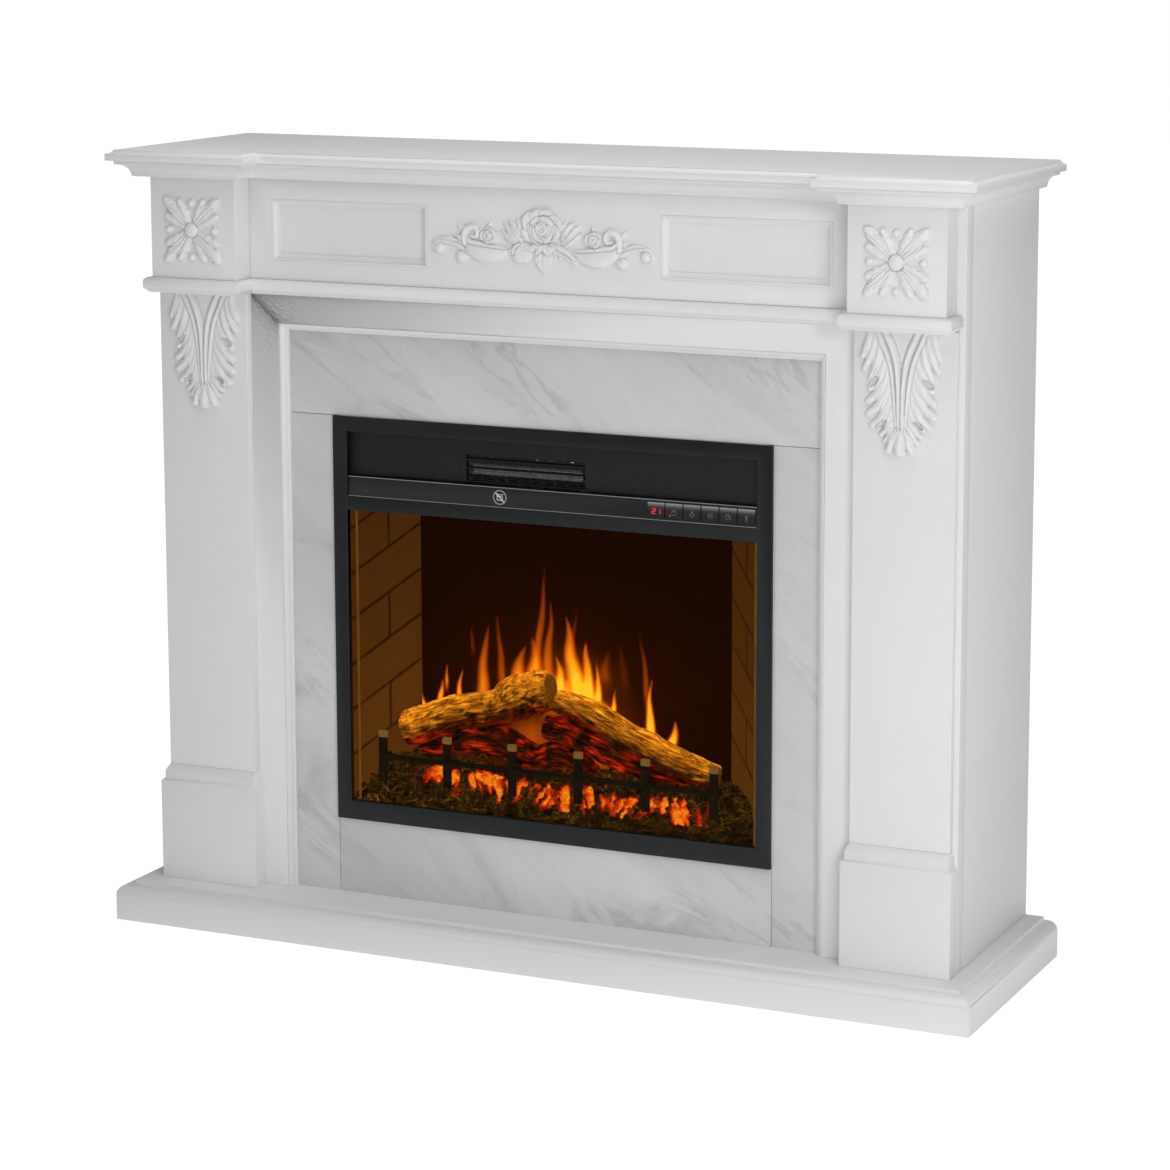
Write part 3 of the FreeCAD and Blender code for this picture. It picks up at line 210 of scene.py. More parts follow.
# what each plain finish looks like: shader constants, then the finish group's values
plainFinishes = {
    "whitePaint": ({"Specular IOR Level": 0.45, "Coat Weight": 0.08, "Coat Roughness": 0.35},
                   {"Colour": (0.815, 0.812, 0.805), "Second Colour": (0.775, 0.772, 0.762), "Drift Scale": 3.2,
                    "Drift Amount": 0.55, "Grain Scale": 1500.0, "Grain Height": 0.035, "Wave Scale": 210.0,
                    "Wave Height": 0.06, "Rough Low": 0.40, "Rough High": 0.52}),
    "resinPaint": ({"Specular IOR Level": 0.45, "Coat Weight": 0.08, "Coat Roughness": 0.35},
                   {"Colour": (0.825, 0.82, 0.81), "Second Colour": (0.77, 0.765, 0.75), "Drift Scale": 22.0,
                    "Drift Amount": 0.6, "Grain Scale": 1300.0, "Grain Height": 0.05, "Wave Scale": 260.0,
                    "Wave Height": 0.10, "Rough Low": 0.40, "Rough High": 0.54}),
    "charcoalCoat": ({"Specular IOR Level": 0.35, "Coat Weight": 0.08, "Coat Roughness": 0.4},
                     {"Colour": (0.0052, 0.0078, 0.0098), "Second Colour": (0.0040, 0.0062, 0.0080), "Drift Scale": 14.0,
                      "Drift Amount": 0.6, "Grain Scale": 1700.0, "Grain Height": 0.11, "Wave Scale": 500.0,
                      "Wave Height": 0.08, "Rough Low": 0.34, "Rough High": 0.47}),
    "blackMesh": ({"Specular IOR Level": 0.5},
                  {"Colour": (0.008, 0.009, 0.011), "Second Colour": (0.0045, 0.005, 0.006), "Drift Scale": 30.0,
                   "Drift Amount": 0.7, "Grain Scale": 2200.0, "Grain Height": 0.06, "Rough Low": 0.34, "Rough High": 0.5}),
    "rawBoard": ({"Specular IOR Level": 0.25},
                 {"Colour": (0.40, 0.275, 0.165), "Second Colour": (0.325, 0.215, 0.125), "Drift Scale": 46.0,
                  "Drift Amount": 0.8, "Grain Scale": 1600.0, "Grain Height": 0.22, "Wave Scale": 420.0,
                  "Wave Height": 0.25, "Rough Low": 0.72, "Rough High": 0.9}),
    "castIron": ({"Metallic": 0.0, "Specular IOR Level": 0.5},
                 {"Colour": (0.014, 0.012, 0.010), "Second Colour": (0.03, 0.018, 0.011), "Drift Scale": 70.0,
                  "Drift Amount": 0.7, "Grain Scale": 1400.0, "Grain Height": 0.35, "Wave Scale": 420.0,
                  "Wave Height": 0.3, "Rough Low": 0.45, "Rough High": 0.7}),
    "rolledSteel": ({"Metallic": 1.0},
                    {"Colour": (0.52, 0.52, 0.53), "Second Colour": (0.40, 0.41, 0.42), "Drift Scale": 60.0,
                     "Drift Amount": 0.8, "Grain Scale": 1300.0, "Grain Height": 0.06, "Rough Low": 0.28, "Rough High": 0.45}),
    "mattAluminium": ({"Metallic": 1.0},
                      {"Colour": (0.72, 0.73, 0.74), "Second Colour": (0.6, 0.61, 0.62), "Drift Scale": 40.0,
                       "Drift Amount": 0.7, "Grain Scale": 1500.0, "Grain Height": 0.05, "Rough Low": 0.3, "Rough High": 0.42}),
    "blackNylon": ({"Specular IOR Level": 0.45},
                   {"Colour": (0.022, 0.022, 0.023), "Second Colour": (0.034, 0.034, 0.035), "Drift Scale": 90.0,
                    "Drift Amount": 0.5, "Grain Scale": 2400.0, "Grain Height": 0.08, "Rough Low": 0.4, "Rough High": 0.55}),
    "heaterCeramic": ({"Specular IOR Level": 0.4},
                      {"Colour": (0.17, 0.17, 0.165), "Second Colour": (0.085, 0.085, 0.083), "Drift Scale": 120.0,
                       "Drift Amount": 0.8, "Grain Scale": 1500.0, "Grain Height": 0.12, "Rough Low": 0.5, "Rough High": 0.7}),
    "boltZinc": ({"Metallic": 1.0},
                 {"Colour": (0.66, 0.65, 0.60), "Second Colour": (0.5, 0.5, 0.48), "Drift Scale": 300.0,
                  "Drift Amount": 0.7, "Grain Scale": 2600.0, "Grain Height": 0.05, "Rough Low": 0.25, "Rough High": 0.4}),
}

materials = {}
for name, (shader, finish) in plainFinishes.items():
    materials[name] = newMaterial(name, shader, finish)[0]


def makeMarble():
    """white body with soft diagonal clouds and thin grey veins"""
    mat, tree, bsdf, group = newMaterial("honedMarble", {"Specular IOR Level": 0.5, "Coat Weight": 0.25,
                                                         "Coat Roughness": 0.18})
    turned = objectPoint(tree, turn=(0, math.radians(-38), 0))
    stretched = addNode(tree, "ShaderNodeMapping", {"Vector": turned, "Scale": (0.55, 1.0, 2.6)}).outputs[0]
    warp = noiseOf(tree, stretched, 3.1, 5.0, 0.6, 0.6)
    cloud = addNode(tree, "ShaderNodeMapRange", {"Value": warp, "From Min": 0.36, "From Max": 0.68}).outputs[0]
    veinNoise = noiseOf(tree, stretched, 2.3, 6.0, 0.58, 1.1)
    away = mathNode(tree, "ABSOLUTE", mathNode(tree, "SUBTRACT", veinNoise, 0.52))
    vein = addNode(tree, "ShaderNodeMapRange", {"Value": away, "From Min": 0.0, "From Max": 0.022, "To Min": 1.0,
                                                "To Max": 0.0}).outputs[0]
    breaks = addNode(tree, "ShaderNodeMapRange", {"Value": noiseOf(tree, objectPoint(tree), 9.0, 3.0), "From Min": 0.42,
                                                  "From Max": 0.62}).outputs[0]
    hair = mathNode(tree, "ABSOLUTE", mathNode(tree, "SUBTRACT", noiseOf(tree, stretched, 6.5, 7.0, 0.6, 0.8), 0.5))
    hairs = addNode(tree, "ShaderNodeMapRange", {"Value": hair, "From Min": 0.0, "From Max": 0.012, "To Min": 0.5,
                                                 "To Max": 0.0}).outputs[0]
    body = mixColour(tree, cloud, (0.70, 0.698, 0.69), (0.57, 0.57, 0.565))
    faint = mathNode(tree, "MULTIPLY", mathNode(tree, "MULTIPLY", vein, breaks), 0.55)
    body = mixColour(tree, faint, body, (0.40, 0.395, 0.385))
    body = mixColour(tree, mathNode(tree, "MULTIPLY", hairs, 0.35), body, (0.48, 0.47, 0.455))
    speck = noiseOf(tree, objectPoint(tree), 700.0, 2.0)
    body = mixColour(tree, mathNode(tree, "MULTIPLY", speck, 0.08), body, (0.55, 0.55, 0.55))
    rough = mixRange(tree, cloud, 0.20, 0.30)
    bump = addNode(tree, "ShaderNodeBump", {"Height": noiseOf(tree, objectPoint(tree), 900.0), "Strength": 0.15,
                                            "Distance": 0.2 * mm}).outputs[0]
    tree.links.new(body, bsdf.inputs["Base Color"])
    tree.links.new(rough, bsdf.inputs["Roughness"])
    tree.links.new(bump, bsdf.inputs["Normal"])
    return mat


def makeGalvanised():
    """zinc spangle on pressed sheet"""
    mat, tree, bsdf, group = newMaterial("zincSheet", {"Metallic": 1.0})
    point = objectPoint(tree)
    wobble = addNode(tree, "ShaderNodeTexNoise", {"Vector": point, "Scale": 40.0}).outputs["Color"]
    mixed = addNode(tree, "ShaderNodeMix", data_type="VECTOR")
    mixed.inputs[0].default_value = 0.02
    tree.links.new(point, mixed.inputs[4])
    tree.links.new(wobble, mixed.inputs[5])
    cells = addNode(tree, "ShaderNodeTexVoronoi", {"Vector": mixed.outputs[1], "Scale": 95.0})
    grey = addNode(tree, "ShaderNodeSeparateColor", {"Color": cells.outputs["Color"]}).outputs[0]
    tree.links.new(mixColour(tree, grey, (0.50, 0.51, 0.52), (0.68, 0.69, 0.70)), bsdf.inputs["Base Color"])
    tree.links.new(mixRange(tree, grey, 0.30, 0.48), bsdf.inputs["Roughness"])
    bump = addNode(tree, "ShaderNodeBump", {"Height": noiseOf(tree, point, 300.0), "Strength": 0.12,
                                            "Distance": 0.3 * mm}).outputs[0]
    tree.links.new(bump, bsdf.inputs["Normal"])
    return mat


def makeCircuitBoard():
    """green solder mask with copper tracks showing through"""
    mat, tree, bsdf, group = newMaterial("solderMask", {"Specular IOR Level": 0.5, "Coat Weight": 0.4,
                                                        "Coat Roughness": 0.15})
    point = objectPoint(tree)
    tracks = addNode(tree, "ShaderNodeTexBrick", {"Vector": objectPoint(tree, turn=(math.radians(90), 0, 0)),
                                                  "Scale": 55.0, "Mortar Size": 0.03, "Color1": (0, 0, 0),
                                                  "Color2": (0, 0, 0), "Mortar": (1, 1, 1)}).outputs["Color"]
    blot = noiseOf(tree, point, 160.0)
    mask = mixColour(tree, blot, (0.010, 0.075, 0.028), (0.016, 0.10, 0.040))
    tree.links.new(mixColour(tree, mathNode(tree, "MULTIPLY", tracks, 0.6), mask, (0.05, 0.20, 0.07)),
                   bsdf.inputs["Base Color"])
    tree.links.new(mixRange(tree, blot, 0.25, 0.4), bsdf.inputs["Roughness"])
    return mat


def makeGlass():
    """smoke tinted front pane"""
    mat, tree, bsdf, group = newMaterial("smokedPane", {"Transmission Weight": 1.0, "IOR": 1.07, "Metallic": 0.0})
    smear = noiseOf(tree, objectPoint(tree), 3.0, 3.0)
    tree.links.new(mixColour(tree, smear, (0.52, 0.46, 0.37), (0.49, 0.43, 0.34)), bsdf.inputs["Base Color"])
    tree.links.new(mixRange(tree, smear, 0.0, 0.02), bsdf.inputs["Roughness"])
    return mat


def makeBrick(name, side):
    """printed brick wall: slanting courses, dark joints and amber light that fades to the top"""
    mat, tree, bsdf, group = newMaterial(name, {"Specular IOR Level": 0.3})
    place = addNode(tree, "ShaderNodeTexCoord").outputs["Object"]
    xyz = addNode(tree, "ShaderNodeSeparateXYZ", {"Vector": place})
    joint = addNode(tree, "ShaderNodeAttribute", attribute_name="joint").outputs["Fac"]
    tone = addNode(tree, "ShaderNodeAttribute", attribute_name="tone").outputs["Fac"]
    grit = noiseOf(tree, place, 160.0, 5.0, 0.65)
    blot = noiseOf(tree, place, 22.0, 3.0)
    shade = mathNode(tree, "ADD", mathNode(tree, "MULTIPLY", tone, 0.5), mathNode(tree, "MULTIPLY", blot, 0.5))
    brick = mixColour(tree, shade, (0.155, 0.052, 0.0045), (0.255, 0.092, 0.009))
    brick = mixColour(tree, mathNode(tree, "MULTIPLY", grit, 0.4), brick, (0.07, 0.024, 0.003))
    brick = mixColour(tree, joint, brick, (0.010, 0.004, 0.001))
    glow = addNode(tree, "ShaderNodeMapRange", {"Value": xyz.outputs["Z"], "From Min": 0.20, "From Max": 0.56,
                                                "To Min": 1.0, "To Max": 0.62}).outputs[0]
    lit = mixColour(tree, glow, (0, 0, 0), brick)
    tree.links.new(mixColour(tree, 0.62, brick, (0, 0, 0)), bsdf.inputs["Base Color"])
    tree.links.new(lit, bsdf.inputs["Emission Color"])
    bsdf.inputs["Emission Strength"].default_value = 0.80
    tree.links.new(mixRange(tree, grit, 0.62, 0.85), bsdf.inputs["Roughness"])
    bump = addNode(tree, "ShaderNodeBump", {"Height": grit, "Strength": 0.5, "Distance": 0.6 * mm}).outputs[0]
    tree.links.new(bump, bsdf.inputs["Normal"])
    return mat


def makeFlameScreen():
    """smoked screen with the moving fire picture on it"""
    mat, tree, bsdf, group = newMaterial("flameScreenGlow", {"Specular IOR Level": 0.02})
    heat = addNode(tree, "ShaderNodeAttribute", attribute_name="fireHeat").outputs["Fac"]
    haze = addNode(tree, "ShaderNodeAttribute", attribute_name="haze").outputs["Fac"]
    place = objectPoint(tree, scale=(1.0, 1.0, 0.28))
    streak = noiseOf(tree, place, 90.0, 3.0, 0.6, 0.4)
    lively = mathNode(tree, "MULTIPLY", heat, mixRange(tree, streak, 0.72, 1.28))
    flame = ramp(tree, lively, [(0.0, (0.0, 0.0, 0.0)), (0.14, (0.050, 0.006, 0.0)), (0.36, (0.24, 0.042, 0.001)),
                                (0.60, (0.60, 0.130, 0.003)), (0.82, (1.0, 0.32, 0.008)), (1.0, (1.0, 0.56, 0.025))])
    back = ramp(tree, haze, [(0.0, (0.0065, 0.0012, 0.0)), (0.35, (0.016, 0.0024, 0.0)), (0.65, (0.065, 0.011, 0.0)),
                             (1.0, (0.30, 0.070, 0.002))])
    both = mixColour(tree, 1.0, flame, back, "ADD")
    tree.links.new(both, bsdf.inputs["Emission Color"])
    bsdf.inputs["Emission Strength"].default_value = 2.3
    tree.links.new(mixColour(tree, streak, (0.004, 0.0015, 0.0005), (0.006, 0.002, 0.001)), bsdf.inputs["Base Color"])
    tree.links.new(mixRange(tree, streak, 0.35, 0.5), bsdf.inputs["Roughness"])
    return mat


def makeBark():
    # moulded log resin: wrinkled bark, darker in the cracks, painted gold firelight on the upper sides and a painted
    # red glow underneath
    mat, tree, bsdf, group = newMaterial("barkResin", {"Specular IOR Level": 0.22})
    place = objectPoint(tree)
    along = addNode(tree, "ShaderNodeAttribute", attribute_name="barkPlace").outputs["Vector"]
    crack = addNode(tree, "ShaderNodeAttribute", attribute_name="crack").outputs["Fac"]
    under = addNode(tree, "ShaderNodeAttribute", attribute_name="under").outputs["Fac"]
    gilt = addNode(tree, "ShaderNodeAttribute", attribute_name="gilt").outputs["Fac"]
    fibre = noiseOf(tree, along, 5.0, 8.0, 0.66, 0.5)
    flake = noiseOf(tree, along, 16.0, 5.0, 0.7, 0.7)
    patch = noiseOf(tree, place, 26.0, 3.0, 0.6)
    wrinkle = mathNode(tree, "MULTIPLY_ADD", flake, 0.45, mathNode(tree, "MULTIPLY", fibre, 0.55))
    bark = ramp(tree, wrinkle, [(0.38, (0.020, 0.005, 0.0005)), (0.45, (0.20, 0.060, 0.003)), (0.51, (0.54, 0.185, 0.008)),
                                (0.58, (0.98, 0.37, 0.013)), (0.68, (1.0, 0.60, 0.055))])
    bark = mixColour(tree, mathNode(tree, "MULTIPLY", crack, 0.85), bark, (0.010, 0.003, 0.0005))
    # painted firelight: the bark colour given off as light where gilt is high, in patches
    light = mathNode(tree, "MULTIPLY", gilt, mixRange(tree, patch, 0.25, 1.7))
    ember = ramp(tree, mathNode(tree, "MULTIPLY_ADD", fibre, 0.6, mathNode(tree, "MULTIPLY", patch, 0.4)),
                 [(0.40, (0.006, 0.0, 0.0)), (0.50, (0.10, 0.003, 0.0)), (0.58, (0.52, 0.012, 0.001)), (0.70, (1.0, 0.11, 0.005))])
    lit = mixColour(tree, light, (0, 0, 0), bark)
    # painted red glow on the undersides of the upper logs and over the lower logs
    hot = mixColour(tree, mathNode(tree, "MULTIPLY", under, mathNode(tree, "SUBTRACT", 1.2, crack)), (0, 0, 0), ember)
    tree.links.new(mixColour(tree, 0.8, bark, (0, 0, 0)), bsdf.inputs["Base Color"])
    tree.links.new(mixColour(tree, 1.0, lit, mixColour(tree, 0.5, hot, (0, 0, 0)), "ADD"), bsdf.inputs["Emission Color"])
    bsdf.inputs["Emission Strength"].default_value = 3.7
    tree.links.new(mixRange(tree, flake, 0.45, 0.8), bsdf.inputs["Roughness"])
    bump = addNode(tree, "ShaderNodeBump", {"Height": wrinkle, "Strength": 0.9, "Distance": 2.0 * mm}).outputs[0]
    tree.links.new(bump, bsdf.inputs["Normal"])
    return mat


def makeEmber():
    # tinted resin bed: olive brown crumpled crust with a painted golden sheen on its ridges, and fire in the gaps
    mat, tree, bsdf, group = newMaterial("emberResin", {"Specular IOR Level": 0.3, "Coat Weight": 0.1,
                                                        "Coat Roughness": 0.3})
    place = objectPoint(tree)
    glow = addNode(tree, "ShaderNodeAttribute", attribute_name="glow").outputs["Fac"]
    fibre = noiseOf(tree, place, 42.0, 5.0, 0.62, 1.4)
    fine = noiseOf(tree, place, 260.0, 4.0, 0.6, 0.6)
    ridge = mathNode(tree, "ABSOLUTE", mathNode(tree, "SUBTRACT", fibre, 0.5))
    rim = addNode(tree, "ShaderNodeMapRange", {"Value": ridge, "From Min": 0.0, "From Max": 0.022, "To Min": 1.0,
                                               "To Max": 0.0}).outputs[0]
    paintedGlint = mathNode(tree, "MULTIPLY", rim, addNode(tree, "ShaderNodeMapRange", {"Value": fine, "From Min": 0.42,
                                                                                "From Max": 0.62}).outputs[0])
    wide = addNode(tree, "ShaderNodeMapRange", {"Value": noiseOf(tree, place, 55.0, 6.0, 0.72), "From Min": 0.42,
                                                "From Max": 0.66}).outputs[0]
    crust = mixColour(tree, fine, (0.002, 0.0012, 0.0003), (0.018, 0.009, 0.0012))
    hot = mathNode(tree, "MULTIPLY", glow, mixRange(tree, fine, 0.65, 1.2))
    fire = ramp(tree, hot, [(0.0, (0.0, 0.0, 0.0)), (0.25, (0.035, 0.001, 0.0)), (0.50, (0.32, 0.006, 0.0)),
                            (0.70, (0.75, 0.035, 0.001)), (0.87, (1.0, 0.17, 0.004)), (1.0, (1.0, 0.50, 0.020))])
    # painted sheen: golden lines on the crust's ridges and broad brown patches, given off as light
    sheen = mixColour(tree, paintedGlint, mixColour(tree, wide, (0.0005, 0.0002, 0.0), (0.026, 0.0115, 0.0007)), (0.36, 0.165, 0.010))
    tree.links.new(crust, bsdf.inputs["Base Color"])
    tree.links.new(mixColour(tree, 1.0, fire, sheen, "ADD"), bsdf.inputs["Emission Color"])
    bsdf.inputs["Emission Strength"].default_value = 1.55
    tree.links.new(mixRange(tree, fine, 0.3, 0.6), bsdf.inputs["Roughness"])
    bump = addNode(tree, "ShaderNodeBump", {"Height": mathNode(tree, "ADD", fibre, fine), "Strength": 0.7,
                                            "Distance": 1.8 * mm}).outputs[0]
    tree.links.new(bump, bsdf.inputs["Normal"])
    return mat


def makeGlowing(name, dark, bright, scale, strength, rough=(0.25, 0.4)):
    """a small part that gives off light: two shades of its colour, and emission; a real lamp for the digits and the
    standby lamp, a painted glow on the marks, strips and tips
    """
    mat, tree, bsdf, group = newMaterial(name)
    spread = noiseOf(tree, objectPoint(tree), scale)
    shade = mixColour(tree, spread, dark, bright)
    tree.links.new(shade, bsdf.inputs["Base Color"])
    tree.links.new(shade, bsdf.inputs["Emission Color"])
    tree.links.new(mixRange(tree, spread, *rough), bsdf.inputs["Roughness"])
    bsdf.inputs["Emission Strength"].default_value = strength
    return mat


def makeTile():
    """glossy black button face with a painted highlight: light grey at the top, falling to black below"""
    mat, tree, bsdf, group = newMaterial("blackTilePaintedHighlight", {"Specular IOR Level": 0.4, "Coat Weight": 0.2, "Coat Roughness": 0.12})
    place = objectPoint(tree)
    height = addNode(tree, "ShaderNodeSeparateXYZ", {"Vector": place}).outputs["Z"]
    low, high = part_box("button_power")[0].z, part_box("button_power")[1].z
    level = addNode(tree, "ShaderNodeMapRange", {"Value": height, "From Min": low, "From Max": high}).outputs[0]
    grain = noiseOf(tree, place, 1500.0)
    # painted highlight: light grey across the top of the face, black below
    face = ramp(tree, level, [(0.0, 0.002), (0.50, 0.003), (0.68, 0.030), (0.82, 0.14), (0.95, 0.36), (1.0, 0.12)])
    tree.links.new(mixColour(tree, mathNode(tree, "MULTIPLY", grain, 0.2), face, (0.01, 0.01, 0.01)),
                   bsdf.inputs["Base Color"])
    tree.links.new(mixRange(tree, grain, 0.22, 0.4), bsdf.inputs["Roughness"])
    return mat


materials["honedMarble"] = makeMarble()
materials["zincSheet"] = makeGalvanised()
materials["solderMask"] = makeCircuitBoard()
materials["smokedPane"] = makeGlass()
materials["brickLeft"] = makeBrick("brickLeft", -1)
materials["brickRight"] = makeBrick("brickRight", 1)
materials["flameScreenGlow"] = makeFlameScreen()
materials["barkResin"] = makeBark()
materials["emberResin"] = makeEmber()
materials["blackTilePaintedHighlight"] = makeTile()
materials["redDigits"] = makeGlowing("redDigits", (0.55, 0.004, 0.008), (0.95, 0.01, 0.015), 900.0, 1.3)
# the white and grey marks are print with a faint painted glow
materials["whiteMark"] = makeGlowing("whiteMark", (0.55, 0.56, 0.57), (0.72, 0.73, 0.74), 800.0, 0.12, (0.4, 0.5))
materials["greyMark"] = makeGlowing("greyMark", (0.20, 0.20, 0.21), (0.27, 0.27, 0.28), 900.0, 0.04, (0.4, 0.5))
materials["goldStripPaintedGlow"] = makeGlowing("goldStripPaintedGlow", (0.20, 0.085, 0.010), (0.42, 0.20, 0.03), 60.0, 0.55)
materials["goldTipPaintedGlow"] = makeGlowing("goldTipPaintedGlow", (0.40, 0.24, 0.07), (0.62, 0.40, 0.14), 300.0, 0.30)
print("materials made:", len(materials))


# pieces

def addMesh(name, mesh, material, body="fireplace", replaced=()):
    piece = bpy.data.objects.new(name, mesh)
    bpy.context.scene.collection.objects.link(piece)
    if material:
        mesh.materials.clear()
        mesh.materials.append(materials[material])
    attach(piece, body)
    if replaced:
        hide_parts(*replaced)
    return piece


def withModifiers(mesh, steps):
    """the mesh after these modifiers, as a plain mesh"""
    holder = bpy.data.objects.new("bench", mesh)
    bpy.context.scene.collection.objects.link(holder)
    for kind, props in steps:
        modifier = holder.modifiers.new(kind.lower(), kind)
        for key, value in props.items():
            if key == "group":
                modifier.node_group = value
            elif isinstance(key, str) and key.startswith("input "):
                socket = modifier.node_group.interface.items_tree[key[6:]]
                modifier[socket.identifier] = value
            else:
                setattr(modifier, key, value)
    bpy.context.view_layer.update()
    graph = bpy.context.evaluated_depsgraph_get()
    result = bpy.data.meshes.new_from_object(holder.evaluated_get(graph), depsgraph=graph)
    bpy.data.objects.remove(holder)
    return result


def meshFrom(name, points, faces, smooth=False):
    mesh = bpy.data.meshes.new(name)
    mesh.from_pydata([tuple(p) for p in points], [], faces)
    mesh.validate()
    if smooth:
        mesh.shade_smooth()
    return mesh


def boxesMesh(name, boxes):
    """closed boxes given as (x0, x1, y0, y1, z0, z1) in mm"""
    bm = bmesh.new()
    for x0, x1, y0, y1, z0, z1 in boxes:
        made = bmesh.ops.create_cube(bm, size=1.0)["verts"]
        bmesh.ops.scale(bm, vec=((x1 - x0) * mm, (y1 - y0) * mm, (z1 - z0) * mm), verts=made)
        bmesh.ops.translate(bm, vec=((x0 + x1) / 2 * mm, (y0 + y1) / 2 * mm, (z0 + z1) / 2 * mm), verts=made)
    mesh = bpy.data.meshes.new(name)
    bm.to_mesh(mesh)
    bm.free()
    return mesh


# painted boards, mouldings and stone keep their CAD shape, with the sharp corners eased

eased = {
    "whitePaint": ("painted_wood", 0.9, [
        "base_board", "base_fascia", "shelf_top", "cornice_moulding", "architrave_moulding", "bead_moulding", "casing",
        "end_blocks", "frieze_board", "frieze_panel_moulding", "leg_boards", "pilaster_left", "pilaster_right",
        "plinth_left", "plinth_right", "side_panel_left", "side_panel_right"]),
    "honedMarble": ("marble", 0.5, ["marble_top", "marble_left", "marble_right", "marble_bottom"]),
    "charcoalCoat": ("charcoal_metal", 0.7, ["front_frame", "control_bar"]),
}


def easedCopy(node, width):
    bm = bmesh.new()
    bm.from_mesh(nodes[node].data)
    bmesh.ops.remove_doubles(bm, verts=bm.verts, dist=0.01 * mm)
    bmesh.ops.dissolve_limit(bm, angle_limit=math.radians(1.0), verts=bm.verts, edges=bm.edges)
    mesh = bpy.data.meshes.new(node + "Eased")
    bm.to_mesh(mesh)
    bm.free()
    mesh.materials.clear()
    mesh.shade_smooth()
    return withModifiers(mesh, [("BEVEL", {"width": width * mm, "segments": 2, "limit_method": "ANGLE",
                                           "angle_limit": math.radians(38), "use_clamp_overlap": True,
                                           "harden_normals": True})])


for material, (slot, width, names) in eased.items():
    for name in names:
        addMesh(name + "_eased", easedCopy(name, width), material, "fireplace", (name,))
print("eased boards, mouldings and stone")


# carved resin ornaments: strokes laid over a fine grid, the highest one wins

carving = {
    "cell": 0.8,          # grid step, mm
    "fineCell": 0.6,      # the same for the garland
    "moat": 1.25,         # groove cut round each stroke where it crosses others, mm
    "moatDepth": 2.4,
    "sunk": -2.0,         # depth of the flat back behind the board's face, mm
    "edge": -0.6,         # what is lower than this is cut away, mm
}


def smoothPath(points, count):
    """evenly shared points on a Catmull-Rom line through the given ones"""
    p = np.array(points, float)
    p = np.vstack([2 * p[0] - p[1], p, 2 * p[-1] - p[-2]])
    spans = len(p) - 3
    result = []
    for t in np.linspace(0, spans - 1e-6, count):
        i = int(t)
        u = t - i
        a, b, c, d = p[i:i + 4]
        result.append(0.5 * (2 * b + (c - a) * u + (2 * a - 5 * b + 4 * c - d) * u * u + (3 * b - a - 3 * c + d) * u ** 3))
    return np.array(result)


def graded(values, t):
    return np.interp(t, np.linspace(0, 1, len(values)), values)


